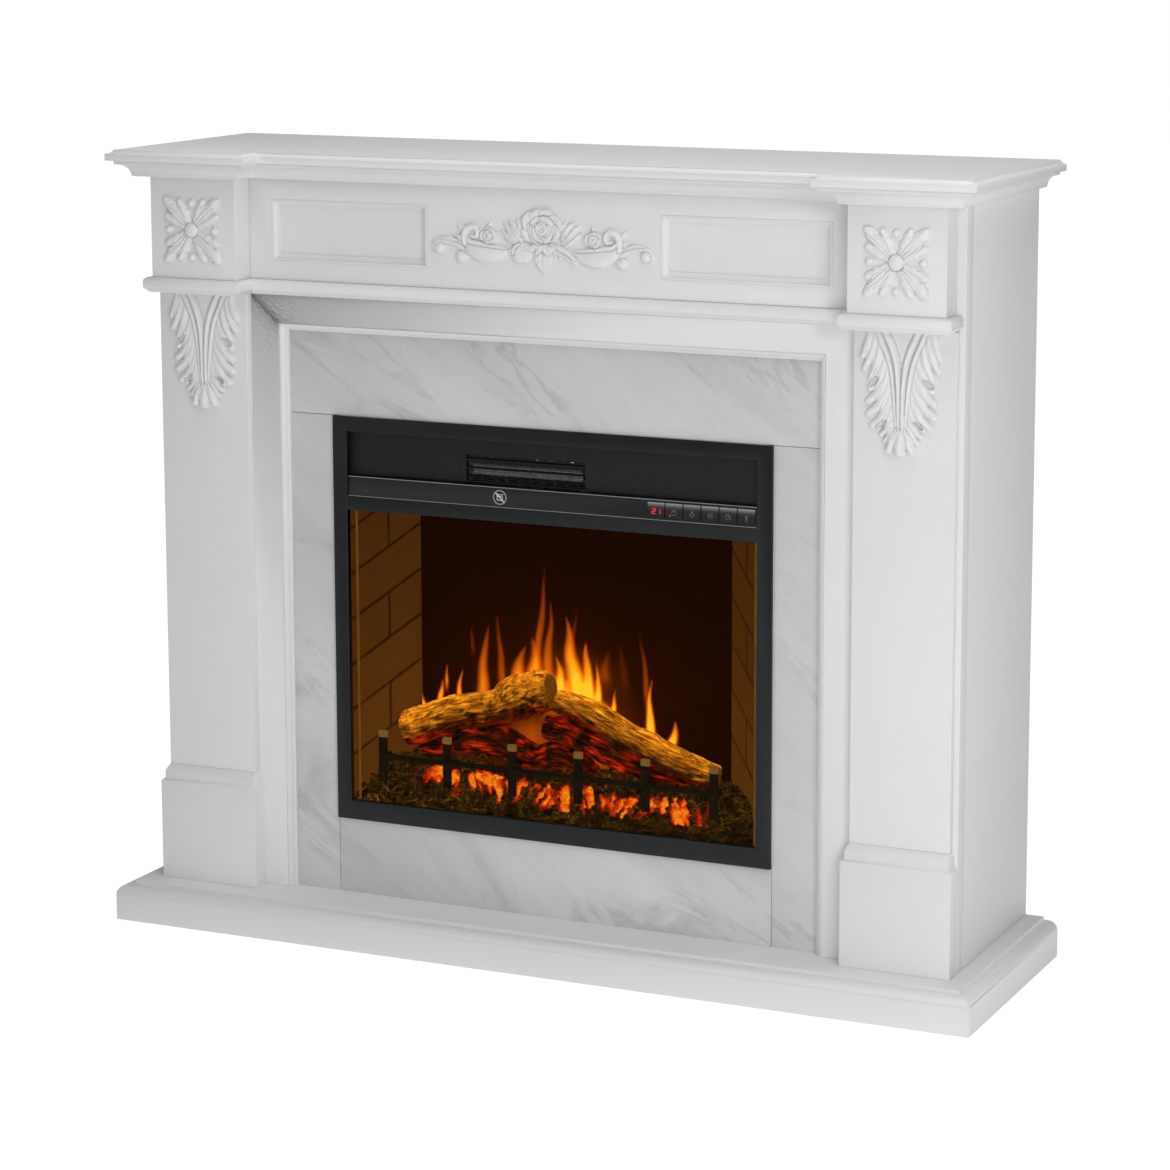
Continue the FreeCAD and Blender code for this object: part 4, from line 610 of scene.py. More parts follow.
class Relief:
    def __init__(self, x0, x1, z0, z1, cell=carving["cell"]):
        self.x = np.arange(x0, x1 + cell / 2, cell)
        self.z = np.arange(z0, z1 + cell / 2, cell)
        self.X, self.Z = np.meshgrid(self.x, self.z, indexing="ij")
        self.H = np.full(self.X.shape, -9.0)

    def window(self, low, high):
        i0, i1 = np.searchsorted(self.x, (low[0], high[0]))
        k0, k1 = np.searchsorted(self.z, (low[1], high[1]))
        return slice(i0, i1), slice(k0, k1)

    def raiseTo(self, part, height, gap, deep):
        # cut a groove just outside the new shape, then raise it
        below = self.H[part]
        moat = np.clip(1 - np.abs(gap / carving["moat"] - 0.5) * 1.6, 0, 1) * (gap > 0)
        cut = np.maximum(below - carving["moatDepth"] * deep * moat, np.minimum(below, 0.6))
        self.H[part] = np.maximum(np.where(below > 0.6, cut, below), height)

    def stroke(self, path, wide, high, lift=0.0, rib=0.0, veins=0, veinDepth=0.35, frill=0, frillDepth=0.14, grooves=0,
               flat=1.0, deep=1.0):
        # a tapered leaf or stem along a path; wide and high are graded along it
        line = smoothPath(path, max(10, 6 * len(path)))
        reach = max(wide) * (1 + frillDepth) + 1
        part = self.window(line.min(0) - reach, line.max(0) + reach)
        X, Z = self.X[part], self.Z[part]
        if not X.size:
            return
        best = np.full(X.shape, 1e9)
        along = np.zeros(X.shape)
        side = np.zeros(X.shape)
        run = np.linalg.norm(np.diff(line, axis=0), axis=1)
        start = np.concatenate([[0], np.cumsum(run)])
        total = start[-1]
        for k in range(len(line) - 1):
            ax, az = line[k]
            dx, dz = line[k + 1] - line[k]
            t = np.clip(((X - ax) * dx + (Z - az) * dz) / max(dx * dx + dz * dz, 1e-9), 0, 1)
            px, pz = X - ax - t * dx, Z - az - t * dz
            d = np.hypot(px, pz)
            closer = d < best
            best = np.where(closer, d, best)
            along = np.where(closer, (start[k] + t * run[k]) / total, along)
            side = np.where(closer, np.sign(dx * pz - dz * px), side)
        width = graded(wide, along)
        if frill:
            width = width * (1 + frillDepth * (np.abs(np.sin(math.pi * frill * along + 0.4 * side)) * 2 - 1.2))
        ratio = best / np.maximum(width, 0.2)
        crown = np.sqrt(np.clip(1 - ratio ** 2, 0, 1)) ** flat
        height = lift + graded(high, along) * crown
        if rib:
            height = height + rib * np.exp(-(best / (0.16 * np.maximum(width, 1))) ** 2)
        if veins:
            wave = np.sin(2 * math.pi * (veins * along - 0.9 * ratio))
            height = height - veinDepth * np.clip(wave, 0, 1) ** 2 * np.clip(ratio * 2, 0, 1)
        if grooves:
            height = height - veinDepth * np.clip(np.cos(2 * math.pi * grooves * ratio * side * 0.5), 0, 1) ** 3 * crown
        if isinstance(deep, list):
            deep = graded(deep, along)
        self.raiseTo(part, np.where(ratio < 1, height, -9.0), best - width, deep)

    def lobe(self, centre, size, turn, high, lift=0.0, tilt=0.0, hollow=0.0, flat=1.0, deep=1.0):
        # an oval petal or bud; tilt raises its far end, hollow dishes it
        reach = max(size) + 1
        low = (centre[0] - reach, centre[1] - reach)
        part = self.window(low, (centre[0] + reach, centre[1] + reach))
        X, Z = self.X[part] - centre[0], self.Z[part] - centre[1]
        c, s = math.cos(math.radians(turn)), math.sin(math.radians(turn))
        u, v = (X * c + Z * s) / size[0], (Z * c - X * s) / size[1]
        r = np.hypot(u, v)
        crown = np.sqrt(np.clip(1 - r ** 2, 0, 1)) ** flat
        height = lift + high * crown + tilt * u - hollow * np.exp(-(r / 0.55) ** 2)
        self.raiseTo(part, np.where(r < 1, height, -9.0), (r - 1) * min(size), deep)

    def scroll(self, centre, r0, r1, a0, a1, wide, high, lift=0.0, deep=1.0):
        # a curl that winds from r0 to r1 between two angles in degrees
        steps = 18
        path = []
        for i in range(steps):
            t = i / (steps - 1)
            a = math.radians(a0 + (a1 - a0) * t)
            r = r0 + (r1 - r0) * t
            path.append((centre[0] + r * math.cos(a), centre[1] + r * math.sin(a)))
        self.stroke(path, wide, high, lift, deep=deep)

    def rose(self, centre, radius, high, turn, hand):
        # a domed heart with petals wound round it, each one over the last
        x, z = centre
        self.lobe(centre, (radius, radius * 0.95), 0, high * 0.72, flat=0.7)
        for k, (out, size, lift) in enumerate(((0.62, 0.62, 0.50), (0.60, 0.60, 0.54), (0.56, 0.58, 0.60), (0.50, 0.54, 0.64),
                                               (0.30, 0.44, 0.76), (0.26, 0.38, 0.80))):
            a = math.radians(turn + hand * 137 * k)
            place = (x + out * radius * math.cos(a), z + out * radius * math.sin(a))
            self.lobe(place, (size * radius * 0.72, size * radius), math.degrees(a), high * 0.20, high * lift, high * 0.10,
                      high * 0.10, 0.5, 0.7)
        self.scroll(centre, radius * 0.44, radius * 0.05, turn, turn + hand * 620, [radius * 0.12, radius * 0.11, radius * 0.08],
                    [high * 0.14, high * 0.16], high * 0.84, 0.8)

    def soften(self, rounds=1):
        for _ in range(rounds):
            H = self.H
            average = (H[:-2, 1:-1] + H[2:, 1:-1] + H[1:-1, :-2] + H[1:-1, 2:]) / 4
            inside = H[1:-1, 1:-1] > -1
            mixed = np.where(inside & (average > -1), 0.5 * H[1:-1, 1:-1] + 0.5 * average, H[1:-1, 1:-1])
            self.H[1:-1, 1:-1] = mixed

    def solid(self, face, middle=(0.0, 0.0), mirror=False, ceiling=None):
        """points and faces of the closed carving standing on the plane y = face (mm)"""
        H = self.H if ceiling is None else np.minimum(self.H, ceiling)
        keep = (H > carving["edge"])
        cells = keep[:-1, :-1] | keep[1:, :-1] | keep[:-1, 1:] | keep[1:, 1:]
        H = np.maximum(H, carving["sunk"] * 0.75)
        used = {}
        points, faces = [], []

        def corner(i, k, back):
            key = (i, k, back)
            if key not in used:
                used[key] = len(points)
                x = self.x[i] * (-1 if mirror else 1) + middle[0]
                depth = carving["sunk"] if back else H[i, k]
                points.append((x * mm, (face - depth) * mm, (self.z[k] + middle[1]) * mm))
            return used[key]

        rows, columns = cells.shape
        for i, k in zip(*np.nonzero(cells)):
            ring = [(i, k), (i + 1, k), (i + 1, k + 1), (i, k + 1)]
            faces.append([corner(a, b, False) for a, b in ring])
            faces.append([corner(a, b, True) for a, b in reversed(ring)])
            for (a, b), (c, d), (ni, nk) in zip(ring, ring[1:] + ring[:1], ((i, k - 1), (i + 1, k), (i, k + 1), (i - 1, k))):
                if not (0 <= ni < rows and 0 <= nk < columns and cells[ni, nk]):
                    faces.append([corner(c, d, False), corner(a, b, False), corner(a, b, True), corner(c, d, True)])
        if mirror:
            faces = [face[::-1] for face in faces]
        return points, faces


def reliefMesh(name, solids):
    points, faces = [], []
    for p, f in solids:
        base = len(points)
        points += p
        faces += [[base + i for i in face] for face in f]
    mesh = meshFrom(name, points, faces, smooth=True)
    mesh.set_sharp_from_angle(angle=math.radians(75))
    return mesh


def carveGarland():
    r = Relief(-153, 153, -41, 41, carving["fineCell"])          # x, and z round the band's middle
    for s in (-1, 1):
        def m(points):
            return [(s * x, z) for x, z in points]

        # stem with a wound end, and the ball below the boat leaf
        r.stroke(m([(92, -17), (104, -13), (118, -6), (131, -3), (142, -5), (147, -12), (143, -18)]),
                 [2.6, 3.8, 4.4, 4.4, 4.0, 3.4, 2.6], [2.4, 3.4, 4.0, 4.4, 4.6, 4.2, 3.6])
        r.stroke(m([(100, -10), (114, -3), (128, 0), (138, -1)]), [1.4, 2.0, 2.2, 1.2], [2.0, 2.6, 2.6, 1.6], lift=1.4)
        r.lobe((s * 139, -13), (7.0, 6.6), 0, 6.0, flat=0.8)
        r.stroke(m([(92, -14), (101, -20), (109, -23)]), [3.4, 5.0, 6.6], [2.8, 4.6, 6.0])
        r.lobe((s * 109, -22.5), (7.6, 7.2), 0, 6.6, flat=0.8)
        # pointed buds outside the curl
        for points in ([(100, -1), (109, 1), (120, 4)], [(101, 6), (108, 11), (115, 18)]):
            r.stroke(m(points), [2.4, 4.4, 1.0], [2.6, 4.8, 1.8], rib=0.5)
        # boat leaf: a broad smooth bowl with a rolled upper lip
        r.stroke(m([(101, -2), (95, -12), (82, -17), (66, -18), (52, -16), (42, -12)]),
                 [5.0, 9.0, 11.5, 10.4, 7.0, 2.4], [4.0, 6.0, 7.0, 6.6, 5.0, 2.4], flat=0.75)
        r.stroke(m([(102, 2), (96, -3), (84, -5), (70, -7), (56, -9), (45, -9)]), [2.6, 2.8, 2.6, 2.2, 1.8, 1.0],
                 [2.4, 2.6, 2.4, 2.0, 1.6, 1.0], lift=3.6)
        # the leaf's end curls over into a hook
        r.stroke(m([(104, -6), (105, 3), (101, 12), (92, 15), (86, 10), (88, 3), (94, 3)]),
                 [3.4, 4.4, 4.8, 4.4, 3.8, 3.2, 2.4], [5.0, 6.4, 7.2, 7.2, 6.6, 6.0, 5.4], flat=0.85)
        # small rose: three pointed petals stand up behind a wound heart
        for tip in ((57, 9), (84, 13), (69, 21)):
            r.stroke(m([(72, 4), ((72 + tip[0]) / 2, (4 + tip[1]) / 2 + 1), tip]), [7.0, 6.6, 1.2], [4.4, 5.6, 3.0], rib=0.7)
        r.rose((s * 71, 5), 10.6, 8.6, 40 * s, s)
        # ribbed double leaves between the roses, fanned up and out
        for points, wide in (([(30, -4), (40, 2), (49, 8), (54, 12)], 5.6), ([(29, 0), (38, 9), (46, 17), (51, 21)], 5.8),
                             ([(28, 5), (34, 15), (40, 22), (44, 25)], 5.4), ([(26, 10), (29, 19), (33, 25)], 4.6)):
            r.stroke(m(points), [3.6, wide, wide * 0.92, 1.6][:len(points) - 1] + [1.6], [3.8, 5.6, 5.0, 2.4][:len(points) - 1]
                     + [2.4], rib=0.8)
    # smooth round leaf and ribbed oval leaf under the big rose
    r.stroke([(-10, -12), (-22, -14), (-32, -15), (-43, -13)], [7, 12.6, 12.4, 3.0], [4.0, 6.2, 6.0, 3.0], flat=0.6)
    r.stroke([(-30, -4), (-36, -9), (-37, -16)], [1.6, 1.8, 1.0], [1.2, 1.2, 0.8], lift=5.0)
    for k in range(5):
        x, z = 16 + 6.2 * k, -5 - 3.2 * k
        r.stroke([(x - 1, z + 2), (x + 3, z - 6), (x + 3.4, z - 13 + 1.6 * k)], [3.2, 3.8, 1.8], [4.6, 6.0 - 0.3 * k, 3.2], rib=0.3)
    r.stroke([(14, -3), (26, -7), (38, -14), (48, -21)], [2.6, 3.2, 2.8, 1.2], [5.6, 6.6, 6.0, 3.0])
    # calyx: ribbed drop leaf, then frilled sepals over it
    for x, wide in ((-6.5, 4.2), (9.5, 4.2), (-1.8, 4.6), (5.6, 4.6)):
        r.stroke([(x, -11), (x * 0.9 + 0.4, -21), (x * 0.55 + 1.2, -30), (3, -37)], [wide, wide, wide * 0.75, 1.2],
                 [5.2, 6.0, 5.0, 2.8])
    for points in ([(-4, -4), (-12, -8), (-20, -8)], [(4, -5), (12, -9), (20, -6)], [(0, -5), (-3, -10), (-5, -14)],
                   [(2, -5), (6, -10), (9, -14)]):
        r.stroke(points, [5.0, 5.0, 2.2], [6.4, 6.8, 4.4], rib=0.6)
    # big rose: broad ruffled outer petals, then the wound heart
    for a, out, size in ((200, 17, 12), (150, 18, 12), (105, 15, 12), (60, 16, 12), (15, 18, 12), (-25, 17, 11), (-70, 12, 11),
                         (-115, 13, 11)):
        x, z = 1 + out * math.cos(math.radians(a)), 17 + out * 0.92 * math.sin(math.radians(a))
        r.lobe((x, z), (size * 0.82, size), a, 2.6, 3.2, 1.5, 1.0, 0.5)
    r.rose((3, 16), 16.5, 8.6, 150, 1)
    for k in range(3):
        r.stroke([(-16 + 3.4 * k, 20 - 2 * k), (-12 + 3.4 * k, 8 - 1.5 * k), (-3 + 2.6 * k, 0.5)], [1.8, 2.4, 1.4],
                 [2.0, 2.4, 1.4], lift=4.4 + 0.6 * k)
    return r


def carveRosette():
    r = Relief(-40, 40, -41, 41)
    for sx in (-1, 1):
        for sz in (-1, 1):
            r.stroke([(sx * 4, sz * 4), (sx * 20, sz * 21), (sx * 32, sz * 33)], [7, 15, 8.0], [3.6, 4.6, 4.0], flat=0.5)
            for path, wide in (([(8, 4), (22, 11), (35, 17)], 6.6), ([(4, 8), (11, 23), (17, 36)], 6.6),
                               ([(5, 5), (22, 23), (36, 37.5)], 8.2)):
                r.stroke([(sx * x, sz * z) for x, z in path], [3.4, wide, wide * 0.72], [4.6, 6.2, 6.0], rib=0.5, flat=0.8,
                         frill=3, frillDepth=0.16, deep=[0.2, 0.7, 1.0])
            for path in ([(9, 7), (21, 17), (32, 27)], [(7, 9), (17, 21), (27, 32)]):
                r.stroke([(sx * x, sz * z) for x, z in path], [1.0, 1.6, 1.0], [1.0, 1.4, 0.8], lift=5.0, deep=0.5)
    for a in (0, 90, 180, 270):
        c, s = math.cos(math.radians(a)), math.sin(math.radians(a))
        r.lobe((33.0 * c, 34.0 * s), (5.2, 5.2), a, 6.8)
    r.lobe((0, 0), (9.4, 9.4), 0, 5.6, 3.2, flat=0.9)
    return r


def carveAcanthus():
    r = Relief(-56, 56, -76, 76)            # z round the leaf's middle
    r.stroke([(0, 70), (0, 40), (0, 0), (0, -36), (0, -62)], [30, 38, 34, 22, 12], [2.2, 3.0, 3.2, 3.4, 4.0], flat=0.5)
    groups = [
        [[(39, 73), (40, 60), (44, 49), (48, 41)], [(32, 73), (34, 55), (39, 39), (46, 27)],
         [(25, 73), (27, 51), (31, 31), (38, 16)]],
        [[(19, 54), (21, 34), (28, 16), (38, 4)], [(16, 44), (19, 18), (28, -1), (40.5, -11)],
         [(13.5, 30), (17, 4), (26, -15), (40, -26)], [(11, 14), (15, -13), (23, -30), (35, -40)]],
        [[(9.5, -2), (12, -22), (18, -35), (27, -42)], [(8, -14), (11, -33), (17, -44), (24, -50)],
         [(7, -26), (9, -42), (14, -52), (20, -58)]],
    ]
    shapes = [([4.6, 5.8, 6.2, 4.0], [4.6, 6.6, 7.6, 6.2]), ([3.6, 5.6, 7.2, 4.8], [4.6, 5.8, 7.2, 6.4]),
              ([3.0, 4.6, 5.0, 3.6], [5.4, 6.8, 7.4, 6.0])]
    for s in (-1, 1):
        for paths, (wide, high) in zip(groups, shapes):
            for path in paths:
                r.stroke([(s * x, z) for x, z in path], wide, high, rib=0.35, flat=0.9, deep=[0.1, 0.35, 1.0, 1.3])
        # dark eyes between the groups of lobes, cut back to the board
        for x, z, a, b, turn in ((33, 12, 8.5, 3.4, -42), (22, -37, 7.0, 2.8, -40)):
            c, n = math.cos(math.radians(turn * s)), math.sin(math.radians(turn * s))
            u = ((r.X - s * x) * c + (r.Z - z) * n) / a
            v = ((r.Z - z) * c - (r.X - s * x) * n) / b
            r.H = np.where(u ** 2 + v ** 2 < 1, -9.0, r.H)
        # smooth stems that run together into the middle rib, with a thin one outside
        stem = [(31, 74), (24, 58), (17, 42), (12, 24), (9, 2), (7, -22), (5, -46)]
        r.stroke([(s * x, z) for x, z in stem], [3.2, 3.0, 2.8, 2.6, 2.4, 2.2, 2.0], [6.4, 7.0, 7.6, 7.8, 7.8, 7.8, 7.6])
        stem = [(22, 74), (15, 60), (9.5, 46), (5.4, 30), (3.2, 4), (2.4, -24), (1.8, -50)]
        r.stroke([(s * x, z) for x, z in stem], [4.4, 4.4, 4.0, 3.4, 3.0, 2.6, 2.2], [7.0, 8.0, 8.8, 9.2, 9.4, 9.2, 8.8])
        r.stroke([(s * 4, -46), (s * 10, -58), (s * 14, -68)], [4.5, 6.4, 5.0], [8.0, 10.4, 9.8], flat=0.9)
    # the curled tip stands proud
    r.stroke([(0, -48), (0, -60), (0, -69)], [5.0, 8.0, 6.8], [8.6, 12.4, 12.4], flat=0.8)
    return r


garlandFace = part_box("frieze_garland")[1].y / mm
bandMiddle = (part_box("frieze_garland")[0].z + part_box("frieze_garland")[1].z) / 2 / mm
garland = carveGarland().solid(garlandFace, (0, bandMiddle), ceiling=8.8)
addMesh("carved_garland", reliefMesh("carvedGarland", [garland]), "resinPaint", "fireplace", ("frieze_garland",))

low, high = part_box("rosettes")
rosette = carveRosette()
rosetteMiddle = (high.x / mm - 41, (low.z + high.z) / 2 / mm)
addMesh("carved_rosettes", reliefMesh("carvedRosettes", [
    rosette.solid(high.y / mm, rosetteMiddle, ceiling=8.8),
    rosette.solid(high.y / mm, (-rosetteMiddle[0], rosetteMiddle[1]), mirror=True, ceiling=8.8)]),
    "resinPaint", "fireplace", ("rosettes",))

low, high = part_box("acanthus_leaves")
leafMiddle = (high.x / mm - 54.0, (low.z + high.z) / 2 / mm)
acanthus = carveAcanthus()
addMesh("carved_acanthus", reliefMesh("carvedAcanthus", [
    acanthus.solid(high.y / mm, leafMiddle, ceiling=13.6),
    acanthus.solid(high.y / mm, (-leafMiddle[0], leafMiddle[1]), mirror=True, ceiling=13.6)]),
    "resinPaint", "fireplace", ("acanthus_leaves",))
print("carvings raised")


# firebox walls: a printed brick sheet with sunk joints that slant back and up

brickWall = {
    "course": 59.0,       # mm between slanting joints
    "rise": 61.0,         # mm a joint climbs from front to back
    "middle": 0.54,       # place of the upright joint along the wall
    "joint": 2.6,         # mm wide
    "depth": 1.2,         # mm deep
    "cell": 1.6,
    "skin": 1.4,          # sheet thickness, mm
}


def brickPanel(name, node, side):
    w = brickWall
    low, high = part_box(node)
    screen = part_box("flame_screen")[1].x / mm
    outer = max(abs(low.x), abs(high.x)) / mm - 4.6
    front = Vector((side * outer, low.y / mm))
    back = Vector((side * screen, high.y / mm))
    run = (back - front).length
    along = (back - front) / run
    away = Vector((along.y, -along.x)) * side      # into the wall
    columns, rows = int(run / w["cell"]), int((high.z - low.z) / mm / w["cell"])
    rnd = random.Random(11)
    tones = [[rnd.random() for _ in range(4)] for _ in range(30)]
    points, faces, joints, toneList = [], [], [], []
    for i in range(columns + 1):
        u = i / columns
        for k in range(rows + 1):
            z = low.z / mm + (high.z - low.z) / mm * k / rows
            q = (z - w["rise"] * u + 6) / w["course"]
            course = math.floor(q)
            gap = min(q - course, course + 1 - q) * w["course"] * 0.72
            if course % 2 == 0:
                gap = min(gap, abs(u - w["middle"]) * run)
            wander = noise.noise(Vector((u * 9, z * 0.05, side * 3))) * 0.5
            fill = max(0.0, min(1.0, 1.25 - (gap + wander) / (w["joint"] / 2) * 0.9))
            rough = noise.noise(Vector((u * 30, z * 0.3, 5))) * 0.22
            inset = fill * w["depth"] + rough + 0.3
            spot = front + along * run * u + away * inset
            points.append((spot.x * mm, spot.y * mm, z * mm))
            joints.append(fill)
            toneList.append(tones[course % 30][(course % 2) * 2 + (1 if course % 2 == 0 and u > w["middle"] else 0)])
    count = len(points)
    across = rows + 1
    for corner in [(0, 0), (columns, 0), (columns, rows), (0, rows)]:
        spot = front + along * run * corner[0] / columns + away * (w["depth"] + w["skin"])
        points.append((spot.x * mm, spot.y * mm, (low.z if corner[1] == 0 else high.z)))
        joints.append(0.0)
        toneList.append(0.5)
    for i in range(columns):
        for k in range(rows):
            a = i * across + k
            faces.append((a, a + across, a + across + 1, a + 1))
    edges = [[i * across for i in range(columns + 1)],
             [columns * across + k for k in range(rows + 1)],
             [i * across + rows for i in range(columns, -1, -1)],
             [k for k in range(rows, -1, -1)]]
    for n, edge in enumerate(edges):
        faces.append(tuple(edge[::-1] + [count + n, count + (n + 1) % 4]))
    faces.append((count + 3, count + 2, count + 1, count))
    if side > 0:
        faces = [face[::-1] for face in faces]
    mesh = meshFrom(name, points, faces)
    for label, values in (("joint", joints), ("tone", toneList)):
        layer = mesh.attributes.new(label, "FLOAT", "POINT")
        layer.data.foreach_set("value", values)
    return mesh


for side, label in ((-1, "left"), (1, "right")):
    node = "brick_panel_" + label
    addMesh("brick_wall_" + label, brickPanel("brickWall" + label, node, side), "brick" + label.capitalize(), "fireplace",
            (node,))
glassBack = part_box("glass_pane")[1].y / mm
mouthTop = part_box("glass_pane")[1].z / mm - 4
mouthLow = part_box("glass_pane")[0].z / mm + 4
# thin gold strips at the walls' front edges, with a painted glow
stripMesh = boxesMesh("wallEdgeStrips", [(s * 274 - 1.6, s * 274 + 1.6, glassBack + 0.6, glassBack + 1.8, mouthLow, mouthTop)
                                         for s in (-1, 1)])
addMesh("wall_edge_strips", withModifiers(stripMesh, [("BEVEL", {"width": 0.4 * mm, "segments": 2})]), "goldStripPaintedGlow",
        "fireplace")
print("brick walls laid")


# flame screen: one tongue is (foot x, foot z, tip x, tip z, width, heat), mm

flames = {
    "cell": 2.0,
    "tongues": [
        (9, 322, -14, 421, 31, 1.0), (18, 317, 20, 392, 25, 1.12), (32, 312, 35, 368, 13, 1.15), (-19, 326, -22, 372, 19, 1.05),
        (107, 282, 106, 350, 14, 1.25), (135, 273, 143, 302, 14, 1.1), (54, 306, 58, 334, 10, 0.95),
        (101, 335, 92, 414, 9, 0.34), (-37, 352, -31, 440, 17, 0.52), (-51, 370, -39, 483, 14, 0.42),
        (-54, 338, -56, 392, 28, 0.80), (-78, 336, -70, 380, 23, 0.66), (-129, 306, -123, 402, 22, 0.66),
        (-100, 326, -107, 422, 14, 0.40), (-143, 374, -143, 406, 6, 0.22), (-180, 322, -179, 349, 6, 0.72),
        (-190, 300, -186, 328, 10, 0.85), (-162, 303, -159, 344, 9, 0.88), (-213, 286, -219, 303, 12, 1.05),
        (-8, 322, -2, 352, 60, 0.72), (20, 306, 22, 338, 60, 0.80), (-36, 322, -34, 352, 70, 0.60),
        (44, 350, 48, 385, 18, 0.28), (70, 352, 66, 396, 12, 0.16), (-6, 372, 4, 432, 12, 0.30),
    ],
    "glowMiddle": (-10, 318),      # centre of the red haze
    "glowSize": (150, 95),
    "betweenLogs": (-62, 262, 34, 26, 0.62),
    "lowGlow": (45, 240, 62, 22, 0.60),
}


def tongueHeat(x, z, tongue):
    footX, footZ, tipX, tipZ, width, heat = tongue
    t = (z - footZ) / (tipZ - footZ)
    if t < -0.6 or t > 1.02:
        return 0.0
    wave = math.sin(t * 5.2 + footX * 0.37) * width * 0.16 * max(t, 0.0)
    middle = footX + (tipX - footX) * t + wave
    half = width / 2 * (max(0.0, 1 - t) ** 0.75) * (1.0 if t > 0.25 else 0.84 + 0.16 * (t + 0.6) / 0.85)
    off = abs(x - middle) / max(half, 0.5)
    if off > 2.4:
        return 0.0
    edge = max(0.0, 1 - (off / 1.25) ** 2) ** 1.25
    soft = 0.20 * math.exp(-off * off * 0.9)
    fade = min(1.0, 0.34 + 0.78 * (1 - t))
    foot = 1.0 if t > 0 else max(0.0, 1 + t / 0.6)
    return heat * (edge * 0.85 + soft) * fade * foot


def flameScreen():
    f = flames
    low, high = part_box("flame_screen")
    x0, x1, z0, z1 = low.x / mm, high.x / mm, low.z / mm, high.z / mm
    columns, rows = int((x1 - x0) / f["cell"]), int((z1 - z0) / f["cell"])
    points, faces, heat, haze = [], [], [], []
    for i in range(columns + 1):
        x = x0 + (x1 - x0) * i / columns
        for k in range(rows + 1):
            z = z0 + (z1 - z0) * k / rows
            bend = x + 2.4 * noise.noise(Vector((x * 0.03, z * 0.035, 1.7)))
            value = 0.0
            for tongue in f["tongues"]:
                value = max(value, tongueHeat(bend, z, tongue)) + 0.12 * min(value, tongueHeat(bend, z, tongue))
            for cx, cz, sx, sz, strength in (f["betweenLogs"], f["lowGlow"]):
                value = max(value, strength * 0.62 * math.exp(-((x - cx) / sx) ** 2 - ((z - cz) / sz) ** 2))
            heat.append(min(value, 1.0))
            cx, cz = f["glowMiddle"]
            sx, sz = f["glowSize"]
            cloud = math.exp(-((x - cx) / sx) ** 2 - (max(z - cz, 0) / sz) ** 2 - (min(z - cz, 0) / 160) ** 2)
            heart = math.exp(-((x - cx) / 62) ** 2 - (max(z - cz - 12, 0) / 42) ** 2 - (min(z - cz, 0) / 90) ** 2)
            haze.append(min(1.0, cloud * (0.52 + 0.25 * noise.noise(Vector((x * 0.02, z * 0.016, 9)))) + 0.42 * heart))
            points.append((x * mm, low.y, z * mm))
    count = len(points)
    across = rows + 1
    for x, z in ((x0, z0), (x1, z0), (x1, z1), (x0, z1)):
        points.append((x * mm, high.y, z * mm))
        heat.append(0.0)
        haze.append(0.0)
    for i in range(columns):
        for k in range(rows):
            a = i * across + k
            faces.append((a, a + across, a + across + 1, a + 1))
    edges = [[i * across for i in range(columns + 1)],
             [columns * across + k for k in range(rows + 1)],
             [i * across + rows for i in range(columns, -1, -1)],
             [k for k in range(rows, -1, -1)]]
    for n, edge in enumerate(edges):
        faces.append(tuple(edge[::-1] + [count + n, count + (n + 1) % 4]))
    faces.append((count + 3, count + 2, count + 1, count))
    mesh = meshFrom("flameScreenPicture", points, faces)
    for label, values in (("fireHeat", heat), ("haze", haze)):
        mesh.attributes.new(label, "FLOAT", "POINT").data.foreach_set("value", values)
    return mesh


addMesh("flame_screen_picture", flameScreen(), "flameScreenGlow", "fireplace", ("flame_screen",))
print("flame screen lit")


# logs: a lumpy tube along a line of points (x, z) with the radius at each, mm

logs = {
    "left": {"line": [(-223, 263), (-196, 271), (-160, 287), (-122, 297), (-88, 306), (-62, 319), (-40, 327), (-21, 331)],
             "radius": [21.5, 23.5, 21.5, 20.5, 22.0, 26.5, 26.5, 24.5], "deep": 0.80, "seed": 3, "under": 0.42, "gilt": 0.85,
             "knots": [(0.10, 0.9, 5.0), (0.32, 2.0, 3.5), (0.62, 1.6, 4.5), (0.74, 4.2, 3.0)]},
    "right": {"line": [(-12, 318), (22, 311), (60, 296), (98, 279), (140, 264), (176, 251), (211, 244)],
              "radius": [13.5, 15.5, 16.5, 16.5, 16.0, 15.5, 13.5], "deep": 0.92, "seed": 8, "under": 0.30, "gilt": 0.75,
              "knots": [(0.25, 1.9, 3.0), (0.55, 1.2, 3.0), (0.85, 1.7, 4.5)]},
    "lowerLeft": {"line": [(-205, 247), (-170, 251), (-130, 258), (-95, 259), (-60, 249), (-30, 241)],
                  "radius": [13, 17, 19, 18, 16, 10], "deep": 0.8, "seed": 15, "under": 1.0, "gilt": 0.0,
                  "knots": [(0.3, 1.5, 4.0), (0.6, 2.5, 4.0)]},
    "lowerRight": {"line": [(-28, 284), (4, 279), (42, 267), (84, 251), (124, 240), (170, 236)],
                   "radius": [14, 16, 16, 15, 13, 8], "deep": 0.8, "seed": 21, "under": 1.0, "gilt": 0.0,
                   "knots": [(0.2, 1.2, 3.0), (0.5, 3.5, 4.0)]},
    "lowerMiddle": {"line": [(-64, 234), (-34, 243), (-4, 250), (24, 240), (40, 232)],
                    "radius": [8, 14, 16, 12, 7], "deep": 0.8, "seed": 27, "under": 0.9, "gilt": 0.0,
                    "knots": [(0.4, 1.2, 3.0)]},
    "round": 108, "steps": 230,
}


